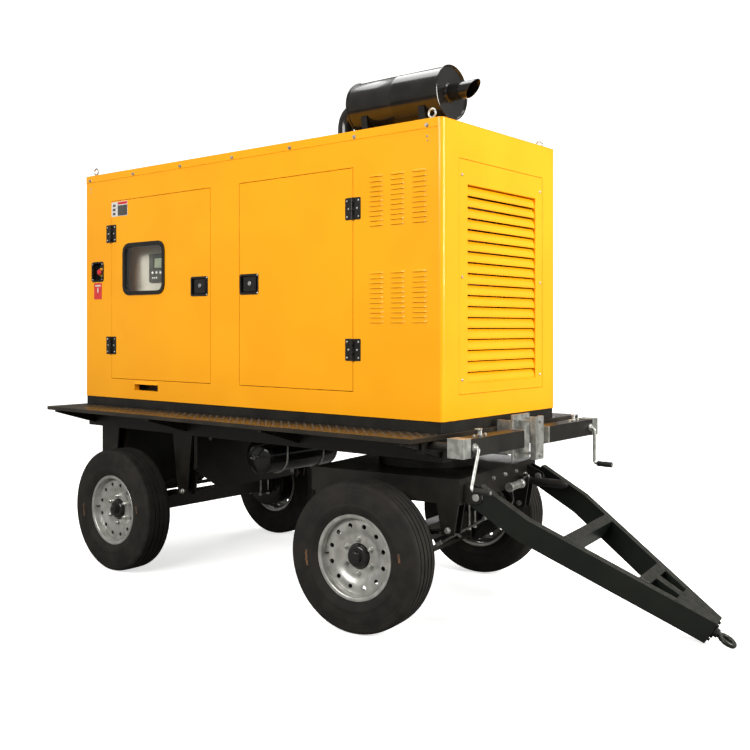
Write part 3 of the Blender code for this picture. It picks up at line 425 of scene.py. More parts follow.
def buildFinish(name, look):
    material = bpy.data.materials.new(name)
    material.use_nodes = True
    tree = material.node_tree
    shader = tree.nodes["Principled BSDF"]
    grain = useEffect(tree, "grain", Fine=look["fine"], Broad=look["broad"], Fine_Depth=look["fineDepth"],
                      Broad_Depth=look["broadDepth"])
    dust = mathOn(tree, "MULTIPLY", useEffect(tree, "dust", Low=0.1, High=1.7, Scale=5.0)["Mask"],
                  look["dust"])
    colour = mixOn(tree, rampOn(tree, grain["Cloud"], 0.35, 0.65), look["colour"], look["second"])
    if "top" in look:  # walked on, faded upper faces
        top = useEffect(tree, "upFacing", Start=0.62, End=0.84)["Mask"]
        worn = rampOn(tree, noiseOn(tree, addNode(tree, "ShaderNodeTexCoord").outputs["Object"], 38.0,
                                    5.0), 0.25, 0.62)
        colour = mixOn(tree, mathOn(tree, "MULTIPLY", top, worn), colour, look["top"])
    if look["wear"]:
        worn = mathOn(tree, "MULTIPLY", useEffect(tree, "wear", Radius=0.004, Breakup=45.0)["Mask"], 0.75)
        colour = mixOn(tree, worn, colour, look["wear"])
    colour = mixOn(tree, dust, colour, dustColour)
    rough = addNode(tree, "ShaderNodeMapRange", {"Value": grain["Cloud"], "To Min": look["rough"] - 0.04,
                                                 "To Max": look["rough"] + 0.05}).outputs[0]
    rough = mathOn(tree, "ADD", rough, mathOn(tree, "MULTIPLY", dust, 0.5), True)
    bump = addNode(tree, "ShaderNodeBump", {"Height": grain["Height"], "Distance": 1.0, "Strength": 1.0})
    tree.links.new(colour, shader.inputs["Base Color"])
    tree.links.new(rough, shader.inputs["Roughness"])
    tree.links.new(bump.outputs[0], shader.inputs["Normal"])
    shader.inputs["Metallic"].default_value = look.get("metallic", 0.0)
    shader.inputs["Specular IOR Level"].default_value = look.get("spec", 0.5)
    shader.inputs["Coat Weight"].default_value = look["coat"]
    shader.inputs["Coat Roughness"].default_value = look["coatRough"]
    return material


def buildGlass():
    material = bpy.data.materials.new("window_glass")
    material.use_nodes = True
    tree = material.node_tree
    shader = tree.nodes["Principled BSDF"]
    shader.inputs["Transmission Weight"].default_value = 1.0
    shader.inputs["IOR"].default_value = 1.12
    shader.inputs["Metallic"].default_value = 0.0
    smear = rampOn(tree, noiseOn(tree, addNode(tree, "ShaderNodeTexCoord").outputs["Object"], 9.0, 4.0),
                   0.45, 0.8)
    tree.links.new(mixOn(tree, smear, (0.90, 0.92, 0.91), (0.80, 0.81, 0.79)), shader.inputs["Base Color"])
    tree.links.new(mathOn(tree, "MULTIPLY", smear, 0.06), shader.inputs["Roughness"])
    shader.inputs["Coat Weight"].default_value = 0.6
    shader.inputs["Coat Roughness"].default_value = 0.03
    clear = addNode(tree, "ShaderNodeBsdfTransparent")  # lets daylight reach the panel behind the pane
    blend = addNode(tree, "ShaderNodeMixShader")
    tree.links.new(addNode(tree, "ShaderNodeLightPath").outputs["Is Shadow Ray"], blend.inputs[0])
    tree.links.new(shader.outputs[0], blend.inputs[1])
    tree.links.new(clear.outputs[0], blend.inputs[2])
    tree.links.new(blend.outputs[0], tree.nodes["Material Output"].inputs["Surface"])
    return material


extraLook = {  # finishes with no slot of their own in the record
    "slotShadow": {"colour": (0.10, 0.035, 0.004), "second": (0.14, 0.05, 0.006), "rough": 0.8,
                   "coat": 0.0, "coatRough": 0.5,
                   "fine": 500, "fineDepth": 0.0001, "broad": 12, "broadDepth": 0.0001, "dust": 0.0,
                   "wear": None},
    "foamGrey": {"colour": (0.030, 0.030, 0.032), "second": (0.05, 0.05, 0.052), "rough": 0.95,
                 "coat": 0.0, "coatRough": 0.5,
                 "fine": 350, "fineDepth": 0.0025, "broad": 20, "broadDepth": 0.001, "dust": 0.1,
                 "wear": None},
    "orangeMark": {"colour": (0.16, 0.068, 0.018), "second": (0.06, 0.032, 0.016), "rough": 0.6,
                   "coat": 0.0, "coatRough": 0.5,
                   "fine": 900, "fineDepth": 0.0001, "broad": 60, "broadDepth": 0.0001, "dust": 0.3,
                   "wear": None},
    "manifoldRust": {"colour": (0.16, 0.075, 0.040), "second": (0.25, 0.13, 0.07), "rough": 0.85,
                     "coat": 0.0, "coatRough": 0.5,
                     "fine": 300, "fineDepth": 0.0006, "broad": 14, "broadDepth": 0.0006, "dust": 0.1,
                     "wear": None},
    "labelWhite": {"colour": (0.72, 0.71, 0.68), "second": (0.64, 0.63, 0.60), "rough": 0.4, "coat": 0.2,
                   "coatRough": 0.2,
                   "fine": 900, "fineDepth": 0.00003, "broad": 40, "broadDepth": 0.0001, "dust": 0.05,
                   "wear": None},
    "screenGreen": {"colour": (0.22, 0.25, 0.17), "second": (0.26, 0.29, 0.20), "rough": 0.15, "coat": 0.5,
                    "coatRough": 0.05,
                    "fine": 600, "fineDepth": 0.00002, "broad": 30, "broadDepth": 0.0001, "dust": 0.0,
                    "wear": None},
    "panelCharcoal": {"colour": (0.060, 0.060, 0.050), "second": (0.075, 0.074, 0.062), "rough": 0.45,
                      "coat": 0.1, "coatRough": 0.3,
                      "fine": 900, "fineDepth": 0.0001, "broad": 12, "broadDepth": 0.0001, "dust": 0.03,
                      "wear": None},
    "cautionYellow": {"colour": (0.80, 0.48, 0.02), "second": (0.70, 0.40, 0.02), "rough": 0.4,
                      "coat": 0.1, "coatRough": 0.3,
                      "fine": 900, "fineDepth": 0.00003, "broad": 30, "broadDepth": 0.0001, "dust": 0.03,
                      "wear": None},
}
finishes = {name: buildFinish(name, look) for name, look in {**finishLook, **extraLook}.items()}
finishes["window_glass"] = buildGlass()
print("finishes made:", len(finishes))


# a finished piece from an open bmesh, riding on a body; stands names the CAD nodes it is shown in
# place of
def makePiece(name, work, finish, body, space=None, bevel=0.0, more=(), sharp=32, stands=()):
    bmesh.ops.recalc_face_normals(work, faces=work.faces)
    mesh = bpy.data.meshes.new(name)
    work.to_mesh(mesh)
    work.free()
    if space is not None:
        mesh.transform(space)
    for material in (finish, *more):
        mesh.materials.append(finishes[material])
    mesh.shade_smooth()
    mesh.set_sharp_from_angle(angle=radians(sharp))
    made = bpy.data.objects.new(name, mesh)
    bpy.context.scene.collection.objects.link(made)
    if bevel:
        soften(made, bevel)
    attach(made, body)
    if stands:
        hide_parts(*stands)
    return made


def soften(made, width, segments=2):
    edge = made.modifiers.new("soften", "BEVEL")
    edge.width, edge.segments, edge.limit_method, edge.angle_limit = width, segments, "ANGLE", radians(32)
    edge.harden_normals = True
    edge.use_clamp_overlap = True


# a CAD node kept as it is, with its finish and softly rounded edges
def dressNode(name, finish, width=0.0015):
    made = frame["nodes"][name]
    made.data.materials.clear()
    made.data.materials.append(finishes[finish])
    made.data.shade_smooth()
    weld = made.modifiers.new("weld", "WELD")
    weld.merge_threshold = 0.00002
    flat = made.modifiers.new("flat", "DECIMATE")
    flat.decimate_type, flat.angle_limit = "DISSOLVE", radians(0.5)
    soften(made, width)
    shade = made.modifiers.new("shade", "WEIGHTED_NORMAL")
    shade.keep_sharp = True


# CAD pieces that are shown as they are

keptNodes = {
    "yellow_powder_coat": ["housing_shell", "roof_cap", "front_louvre_panel", "rear_panel",
                           "door_front_right", "door_rear_right",
                           "door_front_left", "door_rear_left"],
    "chassis_black": ["chassis_frame", "turntable_upper_ring", "turntable_lower_ring", "rear_axle",
                      "front_axle", "rear_spring_left",
                      "rear_spring_right", "front_spring_left", "front_spring_right", "bogie_frame",
                      "skid_base", "fuel_tank",
                      "jack_tube_left", "jack_tube_right"],
    "deck_chequer_plate": ["deck_plate"],
    "drawbar_green_black": ["drawbar_frame"],
    "gloss_black": ["estop_housing"],
    "latch_black": ["latch_front_right", "latch_rear_right", "latch_front_left", "latch_rear_left"],
    "zinc": ["jack_bracket", "jack_leg_left", "jack_leg_right"],
    "panel_beige": ["control_panel"],
    "engine_green": ["engine"],
    "alternator_grey": ["alternator", "fan"],
    "radiator_black": ["radiator"],
    "black_rubber": ["battery", "window_gasket"],
    "window_glass": ["window_pane"],
    "red_plastic": ["estop_button"],
}
edgeWidth = {"window_pane": 0.0003, "window_gasket": 0.003, "drawbar_frame": 0.003, "battery": 0.004,
             "housing_shell": 0.0012,
             "estop_housing": 0.0012, "fuel_tank": 0.006, "engine": 0.006, "fan": 0.001,
             "bogie_frame": 0.002, "jack_bracket": 0.003}
for finish, names in keptNodes.items():
    for name in names:
        dressNode(name, finish, edgeWidth.get(name, 0.0015))
print("CAD pieces dressed")

# wheels

wheelSizes = {
    "tyreRadius": 0.3875, "steps": 96, "vents": 12, "ventCircle": 0.1600, "ventRadius": 0.0125,
    "studs": 6, "studCircle": 0.0850, "nutFlats": 0.021, "markBand": (0.2740, 0.2860), "markOut": 0.0992,
    "marks": ((-14, 17), (168, 9)), "seatOut": 0.0278, "studRadius": 0.0065, "drumRibs": 8,
    "ribCircle": 0.112,
}
tyreHalf = [  # (distance from the tyre's middle plane, radius), from the middle groove to the bead
    (0.0030, 0.3790), (0.0045, 0.3873), (0.0290, 0.3871), (0.0305, 0.3785), (0.0375, 0.3783),
    (0.0390, 0.3868), (0.0640, 0.3856),
    (0.0650, 0.3780), (0.0690, 0.3778), (0.0700, 0.3846), (0.0800, 0.3812), (0.0862, 0.3752),
    (0.0893, 0.3660), (0.0907, 0.3560),
    (0.0917, 0.3480), (0.0922, 0.3470), (0.0932, 0.3380), (0.0940, 0.3300), (0.0946, 0.3290),
    (0.0956, 0.3200), (0.0971, 0.3080),
    (0.0982, 0.2960), (0.0988, 0.2820), (0.0984, 0.2700), (0.0990, 0.2690), (0.0982, 0.2630),
    (0.0962, 0.2530), (0.0925, 0.2430),
    (0.0870, 0.2330), (0.0825, 0.2270), (0.0822, 0.2240), (0.0790, 0.2222), (0.0750, 0.2208),
    (0.0745, 0.2100), (0.0690, 0.2048),
]
rimRing = [  # around the barrel's section, outboard positive
    (0.0800, 0.2140), (0.0797, 0.2185), (0.0775, 0.2205), (0.0750, 0.2195), (0.0742, 0.2150),
    (0.0740, 0.2070), (0.0722, 0.2036),
    (0.0360, 0.2030), (0.0260, 0.1960), (0.0150, 0.1900), (-0.0200, 0.1900), (-0.0300, 0.2000),
    (-0.0400, 0.2030), (-0.0722, 0.2036),
    (-0.0740, 0.2070), (-0.0742, 0.2150), (-0.0750, 0.2195), (-0.0775, 0.2205), (-0.0797, 0.2185),
    (-0.0800, 0.2140),
    (-0.0790, 0.2040), (-0.0750, 0.1992), (-0.0420, 0.1985), (-0.0320, 0.1955), (-0.0220, 0.1855),
    (0.0170, 0.1855),
    (0.0280, 0.1915), (0.0380, 0.1975), (0.0745, 0.1990), (0.0770, 0.2010), (0.0790, 0.2040),
]
discFace = [  # the wheel disc's outer face, then back along its inner face
    (0.0385, 0.1965), (0.0425, 0.1890), (0.0448, 0.1780), (0.0455, 0.1660), (0.0450, 0.1540),
    (0.0432, 0.1450), (0.0395, 0.1360),
    (0.0340, 0.1250), (0.0300, 0.1160), (0.0282, 0.1080), (0.0278, 0.1000), (0.0278, 0.0665),
    (0.0260, 0.0650), (0.0210, 0.0650),
    (0.0200, 0.0680), (0.0200, 0.1010), (0.0206, 0.1100), (0.0235, 0.1190), (0.0290, 0.1290),
    (0.0345, 0.1400), (0.0378, 0.1490),
    (0.0390, 0.1640), (0.0380, 0.1760), (0.0340, 0.1880), (0.0300, 0.1965),
]
hubProfile = [
    (0.0750, 0), (0.0750, 0.0230), (0.0735, 0.0262), (0.0700, 0.0280), (0.0560, 0.0292), (0.0530, 0.0310),
    (0.0520, 0.0400),
    (0.0515, 0.0460), (0.0500, 0.0520), (0.0460, 0.0565), (0.0380, 0.0605), (0.0270, 0.0630),
    (0.0170, 0.0632), (0.0165, 0.1030),
    (-0.0040, 0.1040), (-0.0080, 0.1180), (-0.0200, 0.1500), (-0.0235, 0.1545), (-0.0560, 0.1550),
    (-0.0570, 0.1575),
    (-0.0610, 0.1575), (-0.0620, 0.1550), (-0.1560, 0.1550), (-0.1565, 0.1590), (-0.1640, 0.1590),
    (-0.1650, 0.1550),
    (-0.1650, 0.0325), (0.0540, 0.0325), (0.0540, 0),
]


def outline(points, direction=(0, 1, 0), steps=96, ring=False):
    work = bmesh.new()
    addTurned(work, points, (0, 0, 0), direction, steps, ring)
    return work


def evaluatedMesh(made):
    bpy.context.view_layer.update()
    mesh = bpy.data.meshes.new_from_object(made.evaluated_get(bpy.context.evaluated_depsgraph_get()))
    bpy.data.objects.remove(made)
    return mesh


def looseObject(name, work):
    bmesh.ops.recalc_face_normals(work, faces=work.faces)
    mesh = bpy.data.meshes.new(name)
    work.to_mesh(mesh)
    work.free()
    made = bpy.data.objects.new(name, mesh)
    bpy.context.scene.collection.objects.link(made)
    return made


def cutAway(made, work):  # the mesh of a shape with another cut from it
    cutter = looseObject("cutter", work)
    knife = made.modifiers.new("cut", "BOOLEAN")
    knife.operation, knife.object, knife.solver = "DIFFERENCE", cutter, "EXACT"
    mesh = evaluatedMesh(made)
    bpy.data.objects.remove(cutter)
    return mesh


def ventedDisc():  # the wheel disc with its round vent holes, axis along Y and outboard positive
    disc = looseObject("disc", outline(discFace, ring=True))
    work = bmesh.new()
    for i in range(wheelSizes["vents"]):
        angle = 2 * pi * (i + 0.5) / wheelSizes["vents"]
        centre = Vector((wheelSizes["ventCircle"] * cos(angle), 0, wheelSizes["ventCircle"] * sin(angle)))
        addRod(work, centre, centre + Vector((0, 0.09, 0)), wheelSizes["ventRadius"], 20, 0.0001)
    return cutAway(disc, work)


disc = ventedDisc()
tyreProfile = [(d, r) for d, r in tyreHalf] + [(-d, r) for d, r in reversed(tyreHalf)]


def wheelSpace(place):
    joint = joints["wheel_spin_" + place]
    axle = Vector(joint["axis"]) * (1 if place.endswith("left") else -1)
    return spaceOf(joint["pos_m"], axle.cross(up), axle)


def buildWheel(place):
    space, body = wheelSpace(place), "wheel_" + place
    makePiece("tyre_body_" + place, outline(tyreProfile, steps=wheelSizes["steps"], ring=True),
              "tyre_rubber", body, space,
              sharp=40, stands=["tyre_" + place])
    work = outline(rimRing, steps=wheelSizes["steps"], ring=True)
    work.from_mesh(disc)
    makePiece("wheel_rim_" + place, work, "wheel_silver", body, space, sharp=40, stands=["rim_" + place])
    work = outline(hubProfile, steps=64)
    for i in range(wheelSizes["drumRibs"]):  # ribs round the drum's face
        angle = 2 * pi * i / wheelSizes["drumRibs"]
        tip = Vector((wheelSizes["ribCircle"] * cos(angle), -0.0060, wheelSizes["ribCircle"] * sin(angle)))
        addRod(work, tip, tip + Vector((0, 0.012, 0)), 0.007, 12)
    makePiece("hub_and_drum_" + place, work, "gloss_black", body, space, sharp=36,
              stands=["hub_drum_" + place])
    work = bmesh.new()
    for i in range(wheelSizes["studs"]):
        angle = 2 * pi * i / wheelSizes["studs"] + pi / 2
        seat = Vector((wheelSizes["studCircle"] * cos(angle), wheelSizes["seatOut"],
                       wheelSizes["studCircle"] * sin(angle)))
        addTurned(work, [(0, 0.0145), (0.0025, 0.0140), (0.0030, 0.0120), (0.0030, 0)], seat, (0, 1, 0), 24)
        addRod(work, seat + Vector((0, 0.002, 0)), seat + Vector((0, 0.0190, 0)),
               wheelSizes["nutFlats"] * 0.56, 6, 0.002)
        addRod(work, seat, seat + Vector((0, 0.0260, 0)), wheelSizes["studRadius"], 16, 0.001)
    makePiece("wheel_nuts_" + place, work, "zinc", body, space)
    work = bmesh.new()  # paint dabs on the sidewall, and the valve
    inner, outer = wheelSizes["markBand"]
    for start, sweep in wheelSizes["marks"]:  # degrees
        points = []
        for i in range(9):
            angle = radians(start) + radians(sweep) * i / 8
            waver = 0.0016 * sin(i * 2.3)
            points += [(r * cos(angle), wheelSizes["markOut"], r * sin(angle))
                       for r in (inner + waver, outer + waver)]
        addFaces(work, points, [(2 * i, 2 * i + 1, 2 * i + 3, 2 * i + 2) for i in range(8)])
    makePiece("tyre_marks_" + place, work, "orangeMark", body, space)
    work = bmesh.new()
    addRod(work, (0.176, 0.040, 0), (0.186, 0.066, 0), 0.0045, 12)
    makePiece("tyre_valve_" + place, work, "black_rubber", body, space)


for place in ("front_left", "front_right", "rear_left", "rear_right"):
    buildWheel(place)
print("wheels built")

# springs, axles and brakes

springSizes = {
    "rod": 0.0075, "halfX": 0.038, "halfY": 0.0385, "low": 0.318, "high": 0.494, "bend": 0.014,  # U-bolts
    "nut": 0.0130, "nutZ": (0.3170, 0.3300), "padX": 0.066, "padY": 0.034, "padZ": (0.4790, 0.4865),
    "clipX": 0.235, "clipZ": 0.4950, "eyeX": 0.380, "eyeY": 0.040, "eyeZ": 0.514, "pin": 0.024,
    "rearY": 0.500, "frontY": 0.460,
}


# U-bolts, axle pads, spring clips and shackle pins of one axle
def buildSpringGear(name, centreX, springY, body, space):
    bolts, pads = bmesh.new(), bmesh.new()
    for side in sides.values():
        y = side * springY
        for x in (centreX - springSizes["halfX"] - springSizes["bend"],
                  centreX + springSizes["halfX"] + springSizes["bend"]):
            a, b = y - springSizes["halfY"], y + springSizes["halfY"]
            path = roundedPath([(x, a, springSizes["low"]), (x, a, springSizes["high"]),
                                (x, b, springSizes["high"]), (x, b, springSizes["low"])],
                                springSizes["bend"])
            addTube(bolts, path, springSizes["rod"])
            for edge in (a, b):
                nutLow, nutHigh = springSizes["nutZ"]
                addRod(bolts, (x, edge, nutLow), (x, edge, nutHigh), springSizes["nut"], 6, 0.001)
        halfX, halfY = springSizes["padX"], springSizes["padY"]
        addBlock(pads, (centreX - halfX, centreX + halfX), (y - halfY, y + halfY), springSizes["padZ"])
        for shift in (-springSizes["clipX"], springSizes["clipX"]):
            z = springSizes["clipZ"]
            addBlock(pads, (centreX + shift - 0.012, centreX + shift + 0.012), (y - 0.0345, y + 0.0345),
                     (z - 0.010, z + 0.010))
        for shift in (-springSizes["eyeX"], springSizes["eyeX"]):
            for edge in (-1, 1):
                start = Vector((centreX + shift, y + edge * springSizes["eyeY"], springSizes["eyeZ"]))
                addBolt(bolts, start, (0, edge, 0), springSizes["pin"])
    makePiece("spring_bolts_" + name, bolts, "zinc", body, space)
    makePiece("spring_pads_" + name, pads, "chassis_black", body, space, bevel=0.002)


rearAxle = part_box("rear_axle")
buildSpringGear("rear", (rearAxle[0].x + rearAxle[1].x) / 2, springSizes["rearY"], "chassis", None)
buildSpringGear("front", 0.0, springSizes["frontY"], "turntable", turntableSpace)


def buildBrakes():  # the front axle's brake rod, cylinder and lines, on the turntable
    work = bmesh.new()
    addRod(work, (0.010, -0.250, 0.264), (0.492, -0.250, 0.556), 0.0065, 12)
    addRod(work, (0.470, -0.262, 0.545), (0.470, -0.238, 0.545), 0.011, 16)
    addRod(work, (0.185, -0.256, 0.372), (0.215, -0.256, 0.390), 0.013, 6)
    makePiece("brake_rod", work, "zinc", "turntable", turntableSpace)
    work = bmesh.new()
    addTurned(work, [(0, 0), (0, 0.022), (0.004, 0.026), (0.016, 0.026), (0.020, 0.021), (0.150, 0.021),
                     (0.156, 0.026), (0.170, 0.026),
                     (0.174, 0.022), (0.174, 0)], (0.505, -0.010, 0.676), (0, 1, 0), 32)
    makePiece("brake_cylinder", work, "zinc", "turntable", turntableSpace)
    work = bmesh.new()
    addTurned(work, [(0, 0), (0, 0.016), (0.03, 0.018), (0.05, 0.024), (0.205, 0.024), (0.225, 0.020),
                     (0.236, 0.010), (0.238, 0)],
              (0.490, 0.300, 0.672), (1, 0, -0.02), 32)
    addBlock(work, (0.452, 0.500), (0.270, 0.330), (0.655, 0.692))
    addTube(work,
            smoothPath([(0.505, 0.150, 0.690), (0.520, 0.190, 0.712), (0.500, 0.240, 0.716),
                        (0.470, 0.280, 0.700)]), 0.006)
    addTube(work,
            smoothPath([(0.510, 0.020, 0.650), (0.530, -0.020, 0.600), (0.505, -0.090, 0.560),
                        (0.470, -0.180, 0.552)]), 0.005)
    makePiece("brake_air_line", work, "black_rubber", "turntable", turntableSpace)
    work = bmesh.new()
    for side in sides.values():  # brake levers behind the drums
        addBlock(work, (-0.012, 0.012), tuple(sorted((side * 0.520, side * 0.536))), (0.235, 0.392))
        addRod(work, (0, side * 0.500, 0.250), (0, side * 0.548, 0.250), 0.010, 16)
        addRod(work, (-0.004, side * 0.300, 0.258), (-0.004, side * 0.530, 0.252), 0.008, 12)
    addRod(work, (0.0, -0.330, 0.262), (0.0, 0.330, 0.262), 0.014, 20)
    makePiece("brake_cross_shaft", work, "chassis_black", "turntable", turntableSpace)
    work = bmesh.new()
    for y, z in ((-0.100, 0.735), (0.060, 0.735), (0.210, 0.735), (0.350, 0.700)):
        addBolt(work, (0.450, y, z), (1, 0, 0), 0.017)
    for y in (0.330, 0.270):
        addBolt(work, (0.476, y, 0.692), (0, 0, 1), 0.013)
    makePiece("turntable_front_bolts", work, "zinc", "turntable", turntableSpace)


buildBrakes()


slewingRing = {"bolts": 16, "circle": 0.252, "z": 0.7680, "head": 0.016, "earX": 0.520, "earY": 0.4175,
               "earZ": 0.690}


def buildTurntableDetail():
    work, circle = bmesh.new(), slewingRing["circle"]
    for i in range(slewingRing["bolts"]):
        angle = 2 * pi * i / slewingRing["bolts"]
        addBolt(work, (circle * cos(angle), circle * sin(angle), slewingRing["z"]), (0, 0, -1),
                slewingRing["head"])
    makePiece("turntable_ring_bolts", work, "zinc", "turntable", turntableSpace)
    work = bmesh.new()
    addTurned(work, [(0, 0), (0, 0.036), (0.006, 0.040), (0.030, 0.040), (0.036, 0.030), (0.042, 0)],
              (0, 0, slewingRing["z"]), (0, 0, -1), 32)
    makePiece("turntable_king_pin", work, "chassis_black", "turntable", turntableSpace)
    work = bmesh.new()  # hinge pin heads
    for side in sides.values():
        for edge in (-1, 1):
            start = (slewingRing["earX"], side * slewingRing["earY"] + edge * 0.0452, slewingRing["earZ"])
            addTurned(work, [(0, 0.0195), (0.004, 0.0195), (0.006, 0.0165), (0.006, 0)], start,
                      (0, edge, 0), 24)
    makePiece("drawbar_pin_heads", work, "zinc", "turntable", turntableSpace)


buildTurntableDetail()
print("running gear built")

# housing: louvres, hinges, latches, screws, eyes and plates

louvres = {"columns": (-0.140, -0.281, -0.422), "groups": (1.585, 2.094), "rows": 11, "pitch": 0.0258,
           "width": 0.093, "height": 0.0125, "proud": 0.0075}


def buildLouvres(sideName):  # pressed hoods that open downwards, in the side sheet beside the radiator
    side, work = sides[sideName], bmesh.new()
    place = onSide(side)
    across, rise = 16, 5
    for column in louvres["columns"]:
        for low in louvres["groups"]:
            for row in range(louvres["rows"]):
                z = low + row * louvres["pitch"]
                grid = []
                for j in range(rise + 1):
                    t = j / rise
                    line = []
                    for i in range(across + 1):
                        s = 2 * i / across - 1
                        swell = max(0.0, 1 - abs(s) ** 5) ** 0.5 * cos(t * pi / 2) ** 0.7 if t < 1 else 0.0
                        x = housing["front"] + column + s * louvres["width"] / 2
                        line.append(work.verts.new(place(x,
                                z - louvres["height"] / 2 + t * louvres["height"],
                                0.0002 + louvres["proud"] * swell)))
                    grid.append(line)
                for a, b in zip(grid, grid[1:]):
                    for i in range(across):
                        work.faces.new([a[i], a[i + 1], b[i + 1], b[i]])
                foot = [work.verts.new(place(vert.co.x, vert.co.z + 0.0015, 0.0002)) for vert in grid[0]]
                for i in range(across):  # the open mouth, in shadow
                    work.faces.new([foot[i], foot[i + 1], grid[0][i + 1], grid[0][i]]).material_index = 1
    makePiece("pressed_louvres_" + sideName, work, "yellow_powder_coat", "chassis", more=["slotShadow"],
              sharp=50)


hinges = {"width": 0.108, "height": 0.119, "thick": 0.0030, "heights": (1.434, 2.190), "barrel": 0.0075,
          "screw": 0.0062}


# two leaves and a knuckled barrel; the door's leaf and half of the knuckles ride on the door
def buildHinge(name, body, x, pin, side, z, toDoor):
    place = onSide(side)
    half, top = hinges["height"] / 2, hinges["width"] / 2
    for owner, direction in (("chassis", -toDoor), (body, toDoor)):
        work, screws = bmesh.new(), bmesh.new()
        reach = (0.004, top)
        xs = sorted(x + direction * value for value in reach)
        addPrism(work, roundedOutline(((xs[0] + xs[1]) / 2, z), (xs[1] - xs[0], hinges["height"]), 0.006,
                                      4), (0.0002, hinges["thick"]), place)
        for k in range(5):
            if (k % 2 == 0) == (owner == "chassis"):
                low = z - half + k * hinges["height"] / 5
                start = Vector((pin.x, pin.y, low + 0.0005))
                addRod(work, start, start + Vector((0, 0, hinges["height"] / 5 - 0.001)), hinges["barrel"],
                       16, 0.0008)
                addBlock(work, sorted((x, x + direction * 0.012)),
                         sorted((side * (housing["face"] + 0.0005), pin.y)),
                         (low + 0.0005, low + hinges["height"] / 5 - 0.0005))
        for k in (-1, 0, 1):
            shift = direction * (top - (0.014 if k else 0.024))
            spot = place(x + shift, z + k * 0.043, hinges["thick"])
            addScrew(screws, spot, (0, side, 0), hinges["screw"])
        tag = "frame" if owner == "chassis" else "door"
        makePiece(f"hinge_{name}_{tag}", work, "latch_black", owner, bevel=0.0006)
        makePiece(f"hinge_{name}_{tag}_screws", screws, "zinc", owner)


latchTray = {
    "centreZ": 1.809, "screwInset": 0.008,"size": (0.160, 0.122), "corner": 0.014, "proud": 0.0030,
    "hole": (0.142, 0.0985), "depth": 0.0225, "key": 0.0110, "screw": 0.0062}


# the tray round the paddle's dish, its screws, and the key barrel on the paddle
def buildLatch(place, sideName):
    name, side = f"{place}_{sideName}", sides[sideName]
    low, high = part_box("latch_" + name)
    centre = ((low.x + high.x) / 2, latchTray["centreZ"])
    put = onSide(side)
    work = bmesh.new()
    outer = roundedOutline(centre, latchTray["size"], latchTray["corner"], 5)
    inner = roundedOutline(centre, latchTray["hole"], 0.006, 5)
    addRing(work, outer, inner, (0.0003, latchTray["proud"]), put)
    rim = roundedOutline(centre, (latchTray["hole"][0] - 0.0012, latchTray["hole"][1] - 0.0012), 0.0055, 5)
    addRing(work, inner, rim, (-latchTray["depth"], latchTray["proud"]), put)
    addPrism(work, inner, (-latchTray["depth"] - 0.001, -latchTray["depth"] + 0.0005), put)
    makePiece("latch_tray_" + name, work, "latch_black", "door_leaf_" + name, bevel=0.0008)
    work = bmesh.new()
    for z in (-1, 1):
        spot = put(centre[0] + latchTray["size"][0] / 2 - latchTray["screwInset"],
                   centre[1] + z * (latchTray["size"][1] / 2 - 0.009), latchTray["proud"])
        addScrew(work, spot, (0, side, 0), latchTray["screw"])
    makePiece("latch_screws_" + name, work, "zinc", "door_leaf_" + name)
    work = bmesh.new()
    face = Vector(((low.x + high.x) / 2, high.y if side > 0 else low.y, (low.z + high.z) / 2 + 0.004))
    out = Vector((0, side, 0))
    addTurned(work, [(0, 0.0130), (0.0015, 0.0130), (0.0022, latchTray["key"]),
                     (0.0040, latchTray["key"] - 0.0012), (0.0040, 0.0060), (0.0030, 0.0055),
                     (0.0030, 0)], face, out, 28)
    addBlock(work, (face.x - 0.0009, face.x + 0.0009),
             sorted((face.y + side * 0.0030, face.y + side * 0.0036)), (face.z - 0.004, face.z + 0.004))
    makePiece("latch_key_barrel_" + name, work, "zinc", "latch_paddle_" + name)
    work = bmesh.new()  # finger lip along the paddle's lower edge
    lip = [(low.x + 0.004, high.x - 0.004), sorted((face.y, face.y + side * 0.0022)),
           (low.z + 0.003, low.z + 0.011)]
    addBlock(work, *lip)
    for x in (low.x + 0.010, high.x - 0.016):
        addBlock(work, (x, x + 0.006), sorted((face.y, face.y + side * 0.0015)),
                 (low.z + 0.016, high.z - 0.010))
    makePiece("latch_finger_lip_" + name, work, "latch_black", "latch_paddle_" + name, bevel=0.0006)


blades = {"pitch": 0.057, "count": 18, "half": 0.3475}


def buildLouvreHoods():  # the rolled face of each blade, which nearly closes the gap to the next one up
    low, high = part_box("front_louvre_panel")
    start = (low.z + high.z) / 2 - blades["pitch"] * blades["count"] / 2 - 0.035
    section = [(0.0070, 0.001), (0.0052, 0.006), (0.0055, 0.014), (0.0100, 0.030), (0.0170, 0.044),
               (0.0240, 0.0515),
               (0.0262, 0.0500), (0.0195, 0.0425), (0.0125, 0.029), (0.0080, 0.014), (0.0078, 0.006)]
    work = bmesh.new()
    for i in range(blades["count"]):
        outline = [(housing["front"] - depth, start + i * blades["pitch"] + rise) for depth,
                   rise in section]
        addPrism(work, outline, (-blades["half"] + 0.001, blades["half"] - 0.001), lambda x, z,
                 y: (x, y, z))
    makePiece("louvre_hoods", work, "yellow_powder_coat", "chassis", sharp=40)


buildLouvreHoods()
for sideName, side in sides.items():
    buildLouvres(sideName)
    for place, toDoor in (("front", -1), ("rear", 1)):
        name = f"{place}_{sideName}"
        pin = Vector(joints["door_hinge_" + name]["pos_m"])
        for which, z in zip(("low", "high"), hinges["heights"]):
            buildHinge(f"{name}_{which}", "door_leaf_" + name, pin.x, pin, side, z, toDoor)
        buildLatch(place, sideName)
print("doors dressed")

roofBolts = {"x": (-0.092, -0.570, -1.051, -1.532, -2.012, -2.494, -2.977), "z": 2.5715, "flats": 0.015}


